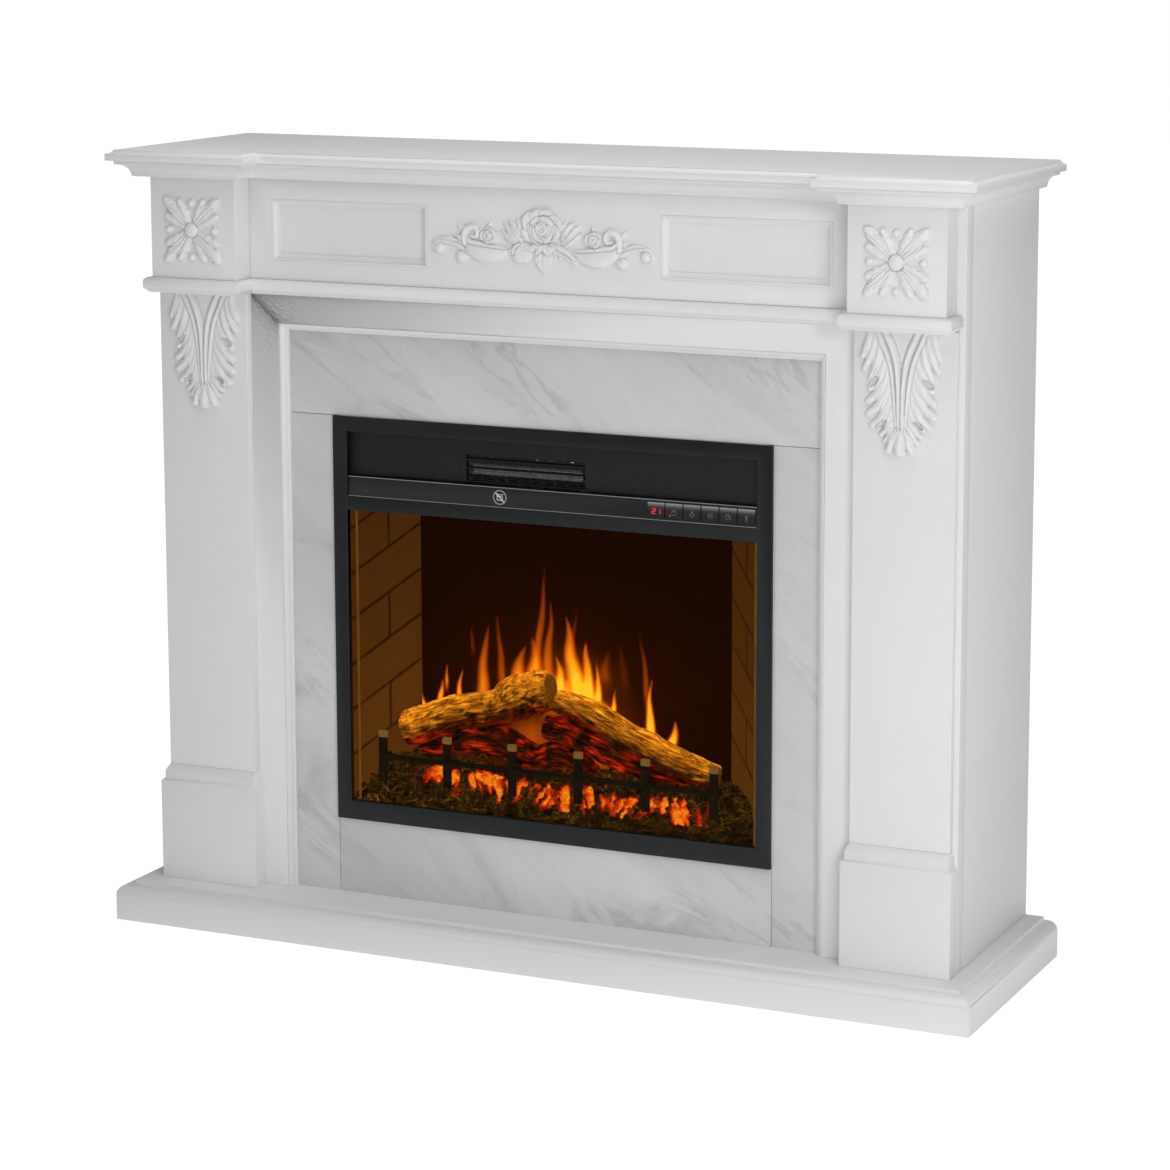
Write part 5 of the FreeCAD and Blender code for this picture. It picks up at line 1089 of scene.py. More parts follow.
def barkLog(name, spec, depthFoot, depthTip):
    steps, around = logs["steps"], logs["round"]
    line = smoothPath(spec["line"], steps)
    t = np.linspace(0, 1, steps)
    radius = graded(spec["radius"], t)
    seed = spec["seed"]
    points, crack, under, gilt, along = [], [], [], [], []
    for i in range(steps):
        a = line[max(i - 1, 0)]
        b = line[min(i + 1, steps - 1)]
        tangent = Vector((b[0] - a[0], 0, b[1] - a[1])).normalized()
        up = Vector((-tangent.z, 0, tangent.x))
        across = Vector((0, 1, 0))
        y = depthFoot + (depthTip - depthFoot) * t[i]
        length = t[i] * len(spec["line"]) * 35
        for k in range(around):
            angle = 2 * math.pi * k / around
            r = radius[i]
            c, s = math.cos(angle), math.sin(angle)
            spot = Vector((c * 1.6, s * 1.6, length * 0.028 + seed))
            twist = length * 0.006
            plate = abs(noise.noise(Vector((c * 3.6 + twist, s * 3.6, length * 0.016 + seed))))
            fine = abs(noise.noise(Vector((c * 8.0, s * 8.0 + twist, length * 0.034 + seed * 2))))
            cross = abs(noise.noise(Vector((c * 2.4, s * 2.4, length * 0.085 + seed * 3))))
            lump = noise.noise(spot)
            ridge = min(1.0, plate * 5.5)
            hair = min(1.0, fine * 5.0)
            step = min(1.0, cross * 7.0)
            r = r * (1 + 0.11 * lump) + 1.7 * (ridge - 0.6) + 1.3 * (hair - 0.5) + 0.8 * (step - 0.6)
            for kt, ka, size in spec["knots"]:
                gap = ((t[i] - kt) * len(spec["line"]) * 35 / 13) ** 2 + (math.sin((angle - ka) / 2) * 2 * radius[i] / 11) ** 2
                r += size * math.exp(-gap) - size * 0.7 * math.exp(-gap * 6)
            endFall = min(1.0, min(t[i], 1 - t[i]) * steps / 2.0)
            r *= 0.95 + 0.05 * endFall
            place = Vector((line[i][0], y, line[i][1])) + up * (r * s) + across * (r * c * spec["deep"])
            points.append(tuple(place * mm))
            crack.append(min(1.0, max(0.0, 0.42 - ridge) * 1.7 + max(0.0, 0.34 - hair) * 1.3 + max(0.0, 0.30 - step) * 1.6))
            along.append((c, s, length / 120 + seed))
            # under: where the painted red glow goes, on the side facing down
            down = max(0.0, -s * 0.85 - 0.05 + 0.5 * noise.noise(Vector((c * 2, s * 2, length * 0.04 + 40))))
            hot = max(0.0, noise.noise(Vector((c * 2.2, s * 2.2, length * 0.05 + 70))) * 1.8 + 0.35)
            under.append(min(1.0, spec["under"] * (down * 1.6 if spec["under"] < 0.9 else hot)))
            # painted firelight, stronger on the upper side of the log
            lift = 0.30 + s * 0.62 + 0.45 * noise.noise(spot * 2) - 0.35 * max(0.0, c)
            gilt.append(spec["gilt"] * max(0.0, min(1.0, lift)))
    faces = []
    for i in range(steps - 1):
        for k in range(around):
            a, b = i * around + k, i * around + (k + 1) % around
            faces.append((a, b, b + around, a + around))
    for i, order in ((0, -1), (steps - 1, 1)):         # sawn ends with year rings
        ringBefore = [i * around + k for k in range(around)]
        centre = Vector((line[i][0], depthFoot + (depthTip - depthFoot) * t[i], line[i][1])) * mm
        for share in (0.82, 0.6, 0.36, 0.14):
            base = len(points)
            for k in range(around):
                p = Vector(points[i * around + k])
                wobble = 0.5 * mm * math.sin(share * 40) + 0.5 * mm * noise.noise(Vector((k * 0.4, share * 9, seed)))
                tangent = Vector((line[-1][0] - line[-2][0], 0, line[-1][1] - line[-2][1])).normalized()
                points.append(tuple(centre + (p - centre) * share + tangent * wobble))
                crack.append(0.45 + 0.4 * (0.5 + 0.5 * math.sin(share * 55)))
                under.append(0.0 if spec["under"] < 0.9 else 0.5)
                gilt.append(spec["gilt"] * 0.45)
                along.append((share * 0.3, k * 0.05, seed + share * 3))
            ring = [base + k for k in range(around)]
            for k in range(around):
                face = (ringBefore[k], ringBefore[(k + 1) % around], ring[(k + 1) % around], ring[k])
                faces.append(face if order > 0 else face[::-1])
            ringBefore = ring
        faces.append(tuple(ringBefore) if order > 0 else tuple(ringBefore[::-1]))
    return points, faces, crack, under, gilt, along


def logMesh(name, parts):
    points, faces = [], []
    values = {"crack": [], "under": [], "gilt": []}
    places = []
    for p, f, crack, under, gilt, along in parts:
        places += along
        base = len(points)
        points += p
        faces += [tuple(base + i for i in face) for face in f]
        for label, list_ in (("crack", crack), ("under", under), ("gilt", gilt)):
            values[label] += list_
    mesh = meshFrom(name, points, faces, smooth=True)
    for label, list_ in values.items():
        mesh.attributes.new(label, "FLOAT", "POINT").data.foreach_set("value", list_)
    flat = [number for place in places for number in place]
    mesh.attributes.new("barkPlace", "FLOAT_VECTOR", "POINT").data.foreach_set("vector", flat)
    mesh.set_sharp_from_angle(angle=math.radians(60))
    bm = bmesh.new()
    bm.from_mesh(mesh)
    bmesh.ops.recalc_face_normals(bm, faces=bm.faces)
    bm.to_mesh(mesh)
    bm.free()
    return mesh


footY, tipY = -43.6, -35.8
addMesh("bark_log_left", logMesh("barkLogLeft", [barkLog("left", logs["left"], footY, tipY)]), "barkResin", "fireplace",
        ("log_left",))
addMesh("bark_log_right", logMesh("barkLogRight", [barkLog("right", logs["right"], tipY, footY)]), "barkResin", "fireplace",
        ("log_right",))
addMesh("charred_logs", logMesh("charredLogs", [barkLog(key, logs[key], tipY - 1, tipY) for key in
                                                ("lowerLeft", "lowerRight", "lowerMiddle")]), "barkResin", "fireplace",
        ("ember_logs",))
print("logs barked")


# ember bed: crumpled resin with coals pressed in it

emberBed = {
    "cell": 1.5,
    "lump": 7.0,
    "coal": 13.0,         # mm across a coal
    "coals": 150,
    "seed": 5,
}


def bedHeight(x, y, front, back, low):
    """mm above the floor of the bed at a place"""
    t = (y - front) / 30.0
    if t < 1:
        return low + 20 + 50 * t
    return low + 70 + 6 * (y - front - 30) / (back - front - 30)


def bedGlow(x, y, z):
    # fire in pointed gaps under the bar, and glow between the logs
    slope = (x + 190) / 380
    top = 214 - 9 * slope + 4 * noise.noise(Vector((x * 0.03, 3.1, 0)))
    depth = (top - z) / (20 + 5 * slope)                # 0 at the bar, 1 where the mulch closes over
    lean = x + 0.55 * (z - top) * math.sin(x * 0.045)
    gap = noise.noise(Vector((lean * 0.085, z * 0.020, 5.0))) + 0.45 * noise.noise(Vector((lean * 0.20, z * 0.06, 8.0)))
    ends = max(0.0, min(1.0, (x + 214) / 40)) * max(0.0, min(1.0, (214 - x) / 30))
    band = max(0.0, min(1.0, 1.02 + 2.3 * gap - 1.55 * max(depth, -2.2 * depth) ** 1.25)) if -0.4 < depth < 1.1 else 0.0
    behind = 0.50 * math.exp(-((y + 30) / 15) ** 2) * max(0.0, min(1.0, 1.2 - abs(x) / 170)) * (0.5 + gap)
    return max(band * ends, behind, 0.0)


def emberMesh():
    e = emberBed
    low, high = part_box("ember_bed")
    front, back, floor = low.y / mm, high.y / mm, low.z / mm
    outer, inner = high.x / mm - 1.0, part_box("flame_screen")[1].x / mm - 1.0
    profile = []
    y = front + 0.6
    while y < back - 0.6:
        profile.append(y)
        y += e["cell"] * (0.55 if y < front + 30 else 1.0)
    columns = int(2 * outer / e["cell"])
    points, faces, glow = [], [], []
    for i in range(columns + 1):
        for y in profile:
            share = (y - front) / (back - front)
            half = outer + (inner - outer) * share
            x = -half + 2 * half * i / columns
            z = bedHeight(x, y, front, back, floor)
            dist, spots = noise.voronoi(Vector((x / e["coal"], y / e["coal"] * 1.2, z / e["coal"] * 1.2)))
            crease = dist[1] - dist[0]
            lump = min(1.0, crease * 2.6)
            fold = abs(noise.noise(Vector((x * 0.11, y * 0.16, z * 0.16)))) * 2.0
            rise = e["lump"] * (lump * 0.9 - 0.85) + 3.0 * (fold - 0.8) + 0.9 * noise.noise(Vector((x * 0.5, y * 0.5, z * 0.5)))
            heat = bedGlow(x, y, z) if y > front + 4 else 0.0
            rise -= 3.0 * heat * (1 - lump)
            normal = Vector((0, -0.86, 0.51)) if y < front + 30 else Vector((0, 0, 1))
            rise = min(rise, 1.5)
            py = max(y + normal.y * rise, front + 0.3)
            points.append((x * mm, py * mm, (z + normal.z * rise) * mm))
            glow.append(min(1.0, heat * (0.70 + 0.45 * max(0.0, 1 - crease * 2.0))))
    across = len(profile)
    count = len(points)
    for i in range(columns):
        for k in range(across - 1):
            a = i * across + k
            faces.append((a, a + across, a + across + 1, a + 1))
    for x, y in ((-outer, front + 0.3), (outer, front + 0.3), (inner, back - 0.4), (-inner, back - 0.4)):
        points.append((x * mm, y * mm, (floor + 0.4) * mm))
        glow.append(0.0)
    edges = [[i * across for i in range(columns + 1)],
             [columns * across + k for k in range(across)],
             [i * across + across - 1 for i in range(columns, -1, -1)],
             [k for k in range(across - 1, -1, -1)]]
    for n, edge in enumerate(edges):
        faces.append(tuple(edge[::-1] + [count + n, count + (n + 1) % 4]))
    faces.append((count + 3, count + 2, count + 1, count))
    mesh = meshFrom("emberCrust", points, faces, smooth=True)
    mesh.attributes.new("glow", "FLOAT", "POINT").data.foreach_set("value", glow)
    return mesh


def socketIn(group, label, kind, default):
    socket = group.interface.new_socket(label, in_out="INPUT", socket_type=kind)
    if default is not None:
        socket.default_value = default
    return socket


def newTree(name, inputs):
    group = bpy.data.node_groups.new(name, "GeometryNodeTree")
    group.interface.new_socket("Geometry", in_out="INPUT", socket_type="NodeSocketGeometry")
    for label, kind, default in inputs:
        socketIn(group, label, kind, default)
    group.interface.new_socket("Geometry", in_out="OUTPUT", socket_type="NodeSocketGeometry")
    return group, group.nodes.new("NodeGroupInput"), group.nodes.new("NodeGroupOutput")


def closeTree(group, out, geometry, material):
    """every tree ends with real geometry and its material"""
    real = addNode(group, "GeometryNodeRealizeInstances", {"Geometry": geometry})
    skin = addNode(group, "GeometryNodeSetMaterial", {"Geometry": real.outputs[0], "Material": materials[material]})
    group.links.new(skin.outputs[0], out.inputs[0])
    return group


def coalTree():
    """coals strewn on the bed's top, turned and sized at random"""
    number = "NodeSocketFloat"
    group, given, out = newTree("coalScatter", [("Count", number, 3000.0), ("Size", number, 5 * mm),
                                                ("Size Spread", number, 0.5), ("Seed", "NodeSocketInt", 5),
                                                ("Lowest", number, 0.2)])
    height = addNode(group, "ShaderNodeSeparateXYZ", {"Vector": addNode(group, "GeometryNodeInputPosition").outputs[0]})
    above = addNode(group, "FunctionNodeCompare", {"A": height.outputs["Z"], "B": given.outputs["Lowest"]},
                    operation="GREATER_THAN")
    strewn = addNode(group, "GeometryNodeDistributePointsOnFaces", {"Mesh": given.outputs["Geometry"],
                     "Density": given.outputs["Count"], "Seed": given.outputs["Seed"], "Selection": above.outputs[0]})
    ball = addNode(group, "GeometryNodeMeshIcoSphere", {"Radius": 1.0, "Subdivisions": 2})
    dent = addNode(group, "ShaderNodeTexNoise", {"Scale": 1.1, "Detail": 1.0})
    pushed = addNode(group, "ShaderNodeVectorMath", {0: dent.outputs["Color"], 1: (0.5, 0.5, 0.5)}, operation="SUBTRACT")
    scaled = addNode(group, "ShaderNodeVectorMath", {0: pushed.outputs[0], "Scale": 1.7}, operation="SCALE")
    stone = addNode(group, "GeometryNodeSetPosition", {"Geometry": ball.outputs[0], "Offset": scaled.outputs[0]})
    turn = addNode(group, "FunctionNodeRandomValue", {"Max": (6.28, 6.28, 6.28), "Seed": given.outputs["Seed"]},
                   data_type="FLOAT_VECTOR")
    low = addNode(group, "ShaderNodeMath", {0: 1.0, 1: given.outputs["Size Spread"]}, operation="SUBTRACT")
    size = addNode(group, "FunctionNodeRandomValue", {2: low.outputs[0], 3: 1.3, "Seed": given.outputs["Seed"]},
                   data_type="FLOAT")
    real = addNode(group, "ShaderNodeMath", {0: size.outputs[1], 1: given.outputs["Size"]}, operation="MULTIPLY")
    placed = addNode(group, "GeometryNodeInstanceOnPoints", {"Points": strewn.outputs["Points"], "Instance": stone.outputs[0],
                     "Rotation": turn.outputs[0], "Scale": real.outputs[0]})
    return closeTree(group, out, placed.outputs[0], "emberResin")


bedMesh = emberMesh()
coalMesh = withModifiers(bedMesh.copy(), [("NODES", {"group": coalTree(), "input Count": 1500.0, "input Size": 4.2 * mm,
                                                     "input Size Spread": 0.55, "input Seed": emberBed["seed"],
                                                     "input Lowest": 0.186})])
addMesh("ember_crust", bedMesh, "emberResin", "fireplace", ("ember_bed",))
coalMesh.shade_smooth()
coalGlow = [0.0] * len(coalMesh.vertices)
for i, vertex in enumerate(coalMesh.vertices):
    x, y, z = (c / mm for c in vertex.co)
    heat = bedGlow(x, y, z)
    coalGlow[i] = min(1.0, heat * max(0.0, 0.35 + 1.2 * noise.noise(Vector((x * 0.09, y * 0.09, z * 0.12)))))
coalMesh.attributes.new("glow", "FLOAT", "POINT").data.foreach_set("value", coalGlow)
addMesh("strewn_coals", coalMesh, None, "fireplace")
print("ember bed laid,", len(coalMesh.polygons), "coal faces")


# grate: hammered bars with gold ends on the posts, which carry a painted glow

def grateParts():
    bm = bmesh.new()
    bm.from_mesh(nodes["fire_grate"].data)
    bmesh.ops.remove_doubles(bm, verts=bm.verts, dist=0.01 * mm)
    bmesh.ops.dissolve_limit(bm, angle_limit=math.radians(1.0), verts=bm.verts, edges=bm.edges)
    mesh = bpy.data.meshes.new("grateBars")
    bm.to_mesh(mesh)
    bm.free()
    mesh.materials.clear()
    mesh.shade_smooth()
    low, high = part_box("fire_grate")
    tip = 8.5
    width = 11.0
    span = (high.x - low.x) / mm - width
    middle = (high.x + low.x) / 2 / mm
    boxes = []
    for i in range(6):
        x = middle - span / 2 + span * i / 5
        boxes.append((x - width / 2 - 0.3, x + width / 2 + 0.3, low.y / mm - 0.3, low.y / mm + 5.3, high.z / mm - tip,
                      high.z / mm + 0.3))
    eased = withModifiers(mesh, [("BEVEL", {"width": 0.9 * mm, "segments": 2, "limit_method": "ANGLE",
                                            "angle_limit": math.radians(38), "harden_normals": True})])
    tips = withModifiers(boxesMesh("grateTips", boxes), [("BEVEL", {"width": 1.0 * mm, "segments": 2})])
    return eased, tips


bars, tips = grateParts()
addMesh("grate_bars", bars, "castIron", "fireplace", ("fire_grate",))
addMesh("grate_tips", tips, "goldTipPaintedGlow", "fireplace")
print("grate set")


# perforated vent sheet and the heater outlet's blades and honeycomb

vent = {
    "pitch": 3.4, "web": 0.74, "thick": 0.6,         # hole spacing, share of a cell that is hole, sheet, mm
    "blades": 3, "bladeThick": 1.0,
}


def honeycombTree(name, material):
    """hexagon cells on staggered points, holed, welded to one sheet and given thickness"""
    number = "NodeSocketFloat"
    group, given, out = newTree(name, [("Columns", "NodeSocketInt", 10), ("Rows", "NodeSocketInt", 5),
                                       ("Pitch", number, 3 * mm), ("Hole", number, 0.7), ("Thickness", number, mm),
                                       ("Gap Low", "NodeSocketVector", (9, 9, 9)), ("Gap High", "NodeSocketVector", (9, 9, 9)),
                                       ("Corner", "NodeSocketVector", (0, 0, 0))])
    index = addNode(group, "GeometryNodeInputIndex").outputs[0]
    total = mathNode(group, "MULTIPLY", given.outputs["Columns"], given.outputs["Rows"])
    line = addNode(group, "GeometryNodeMeshLine", {"Count": total})
    row = mathNode(group, "FLOOR", mathNode(group, "DIVIDE", index, given.outputs["Columns"]))
    column = mathNode(group, "MODULO", index, given.outputs["Columns"])
    stagger = mathNode(group, "MULTIPLY", mathNode(group, "MODULO", row, 2.0), 0.5)
    x = mathNode(group, "MULTIPLY", mathNode(group, "ADD", column, stagger), given.outputs["Pitch"])
    z = mathNode(group, "MULTIPLY", mathNode(group, "MULTIPLY", row, given.outputs["Pitch"]), 0.8660254)
    flat = addNode(group, "ShaderNodeCombineXYZ", {"X": x, "Z": z})
    place = addNode(group, "ShaderNodeVectorMath", {0: flat.outputs[0], 1: given.outputs["Corner"]}, operation="ADD")
    points = addNode(group, "GeometryNodeSetPosition", {"Geometry": line.outputs[0], "Position": place.outputs[0]})
    where = addNode(group, "ShaderNodeSeparateXYZ", {"Vector": addNode(group, "GeometryNodeInputPosition").outputs[0]})
    lowGap = addNode(group, "ShaderNodeSeparateXYZ", {"Vector": given.outputs["Gap Low"]})
    highGap = addNode(group, "ShaderNodeSeparateXYZ", {"Vector": given.outputs["Gap High"]})
    inside = None
    for axis in ("X", "Z"):
        for operation, limit in (("GREATER_THAN", lowGap), ("LESS_THAN", highGap)):
            test = mathNode(group, operation, where.outputs[axis], limit.outputs[axis])
            inside = test if inside is None else mathNode(group, "MULTIPLY", inside, test)
    kept = addNode(group, "GeometryNodeDeleteGeometry", {"Geometry": points.outputs[0], "Selection": inside}, domain="POINT")
    radius = mathNode(group, "MULTIPLY", given.outputs["Pitch"], 0.57735027)
    disc = addNode(group, "GeometryNodeMeshCircle", {"Vertices": 6, "Radius": radius}, fill_type="NGON")
    upright = addNode(group, "GeometryNodeTransform", {"Geometry": disc.outputs[0], "Rotation": (math.radians(90),
                      math.radians(30), 0)})
    inner = addNode(group, "GeometryNodeExtrudeMesh", {"Mesh": upright.outputs[0], "Offset Scale": 0.0}, mode="FACES")
    shrunk = addNode(group, "GeometryNodeScaleElements", {"Geometry": inner.outputs["Mesh"], "Selection": inner.outputs["Top"],
                     "Scale": given.outputs["Hole"]})
    ring = addNode(group, "GeometryNodeDeleteGeometry", {"Geometry": shrunk.outputs[0], "Selection": inner.outputs["Top"]},
                   domain="FACE")
    laid = addNode(group, "GeometryNodeInstanceOnPoints", {"Points": kept.outputs[0], "Instance": ring.outputs[0]})
    real = addNode(group, "GeometryNodeRealizeInstances", {"Geometry": laid.outputs[0]})
    weld = addNode(group, "GeometryNodeMergeByDistance", {"Geometry": real.outputs[0], "Distance": 0.02 * mm})
    thick = addNode(group, "GeometryNodeExtrudeMesh", {"Mesh": weld.outputs[0], "Offset": (0, 1, 0),
                    "Offset Scale": given.outputs["Thickness"], "Individual": False}, mode="FACES")
    turned = addNode(group, "GeometryNodeFlipFaces", {"Mesh": weld.outputs[0]})
    both = addNode(group, "GeometryNodeJoinGeometry")
    group.links.new(thick.outputs["Mesh"], both.inputs[0])
    group.links.new(turned.outputs[0], both.inputs[0])
    closed = addNode(group, "GeometryNodeMergeByDistance", {"Geometry": both.outputs[0], "Distance": 0.01 * mm})
    return closeTree(group, out, closed.outputs[0], material)


def sheetOfCells(name, material, x0, x1, z0, z1, y, pitch, hole, thick, gap=None):
    columns, rows = int((x1 - x0) / pitch), int((z1 - z0) / (pitch * 0.866)) + 1
    seedMesh = boxesMesh(name, [(0, 1, 0, 1, 0, 1)])
    gapLow, gapHigh = gap or ((9, 0, 9), (9, 0, 9))
    mesh = withModifiers(seedMesh, [("NODES", {
        "group": honeycombTree(name + "Tree", material), "input Columns": columns, "input Rows": rows,
        "input Pitch": pitch * mm, "input Hole": hole, "input Thickness": thick * mm,
        "input Gap Low": tuple(c * mm for c in gapLow), "input Gap High": tuple(c * mm for c in gapHigh),
        "input Corner": ((x0 + pitch / 2) * mm, y * mm, (z0 + pitch * 0.3) * mm)})])
    bm = bmesh.new()
    bm.from_mesh(mesh)
    bmesh.ops.recalc_face_normals(bm, faces=bm.faces)
    bm.to_mesh(mesh)
    bm.free()
    return mesh


low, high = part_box("vent_grille")
outLow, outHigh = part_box("outlet_louvre")
gap = ((outLow.x / mm - 1.0, 0, outLow.z / mm - 2.0), (outHigh.x / mm + 1.0, 0, outHigh.z / mm - 1.0))
sheet = sheetOfCells("ventSheet", "blackMesh", low.x / mm + 2, high.x / mm - 2, low.z / mm + 0.5, high.z / mm - 1,
                     high.y / mm - 1.4, vent["pitch"], vent["web"], vent["thick"], gap)
addMesh("vent_sheet", sheet, None, "fireplace", ("vent_grille",))
filterBoxes = [(low.x / mm + 2, gap[0][0] + 0.5, high.y / mm - 0.6, high.y / mm - 0.1, low.z / mm + 1, high.z / mm - 1),
               (gap[1][0] - 0.5, high.x / mm - 2, high.y / mm - 0.6, high.y / mm - 0.1, low.z / mm + 1, high.z / mm - 1),
               (gap[0][0] + 0.4, gap[1][0] - 0.4, high.y / mm - 0.6, high.y / mm - 0.1, gap[1][2] - 0.5, high.z / mm - 1)]
addMesh("vent_filter", withModifiers(boxesMesh("ventFilter", filterBoxes), [("BEVEL", {"width": 0.1 * mm, "segments": 1})]),
        "blackNylon", "fireplace")
print("vent sheet punched,", len(sheet.polygons), "faces")


def outletParts():
    x0, x1 = outLow.x / mm, outHigh.x / mm
    z0, z1 = outLow.z / mm, outHigh.z / mm
    y0, y1 = outLow.y / mm, outHigh.y / mm
    frameBoxes = [(x0, x1, y0, y1 - 1, z0, z0 + 2.0), (x0, x1, y0, y1 - 1, z1 - 1.6, z1),
                  (x0, x0 + 2.0, y0 + 0.1, y1 - 1, z0 + 1.9, z1 - 1.5), (x1 - 2.0, x1, y0 + 0.1, y1 - 1, z0 + 1.9, z1 - 1.5)]
    return boxesMesh("outletFrame", frameBoxes), (x0, x1, y0, y1, z0, z1)


def bladeTree():
    """slanted louvre blades, one above the other"""
    number = "NodeSocketFloat"
    group, given, out = newTree("louvreBlades", [("Count", "NodeSocketInt", 3), ("Length", number, 0.16),
                                                 ("Depth", number, 7 * mm), ("Thickness", number, mm),
                                                 ("Step", number, 9 * mm), ("Slant", number, 0.5),
                                                 ("First", "NodeSocketVector", (0, 0, 0))])
    step = addNode(group, "ShaderNodeCombineXYZ", {"Z": given.outputs["Step"]})
    line = addNode(group, "GeometryNodeMeshLine", {"Count": given.outputs["Count"], "Start Location": given.outputs["First"],
                                                   "Offset": step.outputs[0]})
    size = addNode(group, "ShaderNodeCombineXYZ", {"X": given.outputs["Length"], "Y": given.outputs["Depth"],
                                                   "Z": given.outputs["Thickness"]})
    blade = addNode(group, "GeometryNodeMeshCube", {"Size": size.outputs[0]})
    turn = addNode(group, "ShaderNodeCombineXYZ", {"X": given.outputs["Slant"]})
    placed = addNode(group, "GeometryNodeInstanceOnPoints", {"Points": line.outputs[0], "Instance": blade.outputs[0],
                                                             "Rotation": turn.outputs[0]})
    return closeTree(group, out, placed.outputs[0], "charcoalCoat")


frameMesh, (x0, x1, y0, y1, z0, z1) = outletParts()
addMesh("outlet_frame", withModifiers(frameMesh, [("BEVEL", {"width": 0.4 * mm, "segments": 2})]), "charcoalCoat", "fireplace",
        ("outlet_louvre",))
blades = withModifiers(boxesMesh("bladeSeed", [(0, 1, 0, 1, 0, 1)]), [
    ("NODES", {"group": bladeTree(), "input Count": vent["blades"], "input Length": (x1 - x0 - 3) * mm, "input Depth": 4.6 * mm,
               "input Thickness": vent["bladeThick"] * mm, "input Step": 11.2 * mm, "input Slant": math.radians(24),
               "input First": ((x0 + x1) / 2 * mm, (y0 + 3.2) * mm, (z0 + 7.6) * mm)}),
    ("BEVEL", {"width": 0.3 * mm, "segments": 2})])
addMesh("outlet_blades", blades, None, "fireplace")
comb = sheetOfCells("outletComb", "heaterCeramic", x0 + 9, x1 - 7, z0 + 11, z0 + 23, y0 + 5.8, 2.9, 0.62, 1.2)
addMesh("outlet_comb", comb, None, "fireplace")
screenMesh = sheetOfCells("outletScreen", "blackMesh", x0 + 1, x1 - 1, z0 + 22, z1 - 1.5, y0 + 4.6, 2.4, 0.7, 0.4)
addMesh("outlet_screen", screenMesh, None, "fireplace")
print("outlet fitted")


# marks on the control bar: the tiles' generic signs, the display's digits and the ring sign

marks = {
    "line": 0.5, "proud": 0.12,       # stroke width and height, mm
    "ring": {"place": (-65.5, 583.0), "radius": 8.6, "line": 1.3},
    "digits": "21",
}


def strokeBoxes(lines, width, face, thick):
    """flat bars along (x, z) lines, standing on the plane y = face; mm"""
    points, faces = [], []
    for x0, z0, x1, z1 in lines:
        d = Vector((x1 - x0, 0, z1 - z0))
        length = max(d.length, 0.01)
        along = d / length * (length / 2 + width / 2 * 0.8)
        across = Vector((-d.z, 0, d.x)) / length * width / 2
        middle = Vector(((x0 + x1) / 2, face, (z0 + z1) / 2))
        base = len(points)
        for y in (0.15, -thick):
            for a, b in ((-1, -1), (1, -1), (1, 1), (-1, 1)):
                points.append(tuple((middle + along * a + across * b + Vector((0, y, 0))) * mm))
        for ring in ((3, 2, 1, 0), (4, 5, 6, 7), (0, 1, 5, 4), (1, 2, 6, 5), (2, 3, 7, 6), (3, 0, 4, 7)):
            faces.append(tuple(base + i for i in ring))
    return points, faces


def circleLines(x, z, radius, start=0, stop=360, count=24):
    spots = []
    for i in range(count + 1):
        a = math.radians(start + (stop - start) * i / count)
        spots.append((x + radius * math.cos(a), z + radius * math.sin(a)))
    return [(a[0], a[1], b[0], b[1]) for a, b in zip(spots, spots[1:])]


def signLines(kind, x, z):
    if kind == "power":
        return circleLines(x, z, 3.0, 115, 425, 18) + [(x, z + 0.6, x, z + 3.8)]
    if kind == "flame":
        return [(x, z + 4, x + 2.4, z + 0.4), (x + 2.4, z + 0.4, x + 1.6, z - 2.8), (x + 1.6, z - 2.8, x - 1.6, z - 2.8),
                (x - 1.6, z - 2.8, x - 2.5, z + 0.2), (x - 2.5, z + 0.2, x - 0.6, z + 1.2), (x - 0.6, z + 1.2, x, z + 4)]
    if kind == "heat":
        lines = []
        for dx in (-2.6, 0, 2.6):
            spots = [(x + dx + 0.7 * math.sin(i * 1.25), z - 3 + i * 0.75) for i in range(9)]
            lines += [(a[0], a[1], b[0], b[1]) for a, b in zip(spots, spots[1:])]
        return lines
    if kind == "timer":
        return circleLines(x, z, 3.2, 0, 360, 18) + [(x, z, x, z + 2.2), (x, z, x + 1.6, z - 0.8)]
    return circleLines(x, z - 2.2, 1.5, 0, 360, 12) + [(x - 0.8, z - 0.9, x - 0.8, z + 3.2), (x + 0.8, z - 0.9, x + 0.8, z + 3.2),
                                                       (x - 0.8, z + 3.2, x + 0.8, z + 3.2)]


def segmentLines(digit, x, z):
    w, h = 2.1, 2.9
    bars = {"a": (x - w, z + h, x + w, z + h), "b": (x + w, z, x + w, z + h), "c": (x + w, z - h, x + w, z),
            "d": (x - w, z - h, x + w, z - h), "e": (x - w, z - h, x - w, z), "f": (x - w, z, x - w, z + h),
            "g": (x - w, z, x + w, z)}
    lit = {"0": "abcdef", "1": "bc", "2": "abged", "3": "abgcd", "4": "fgbc", "5": "afgcd", "6": "afgedc", "7": "abc",
           "8": "abcdefg", "9": "abcdfg"}[digit]
    lines = []
    for key in lit:
        x0, z0, x1, z1 = bars[key]
        dx, dz = (0.45 if x0 != x1 else 0), (0.45 if z0 != z1 else 0)
        lines.append((x0 + dx, z0 + dz, x1 - dx, z1 - dz))
    return lines


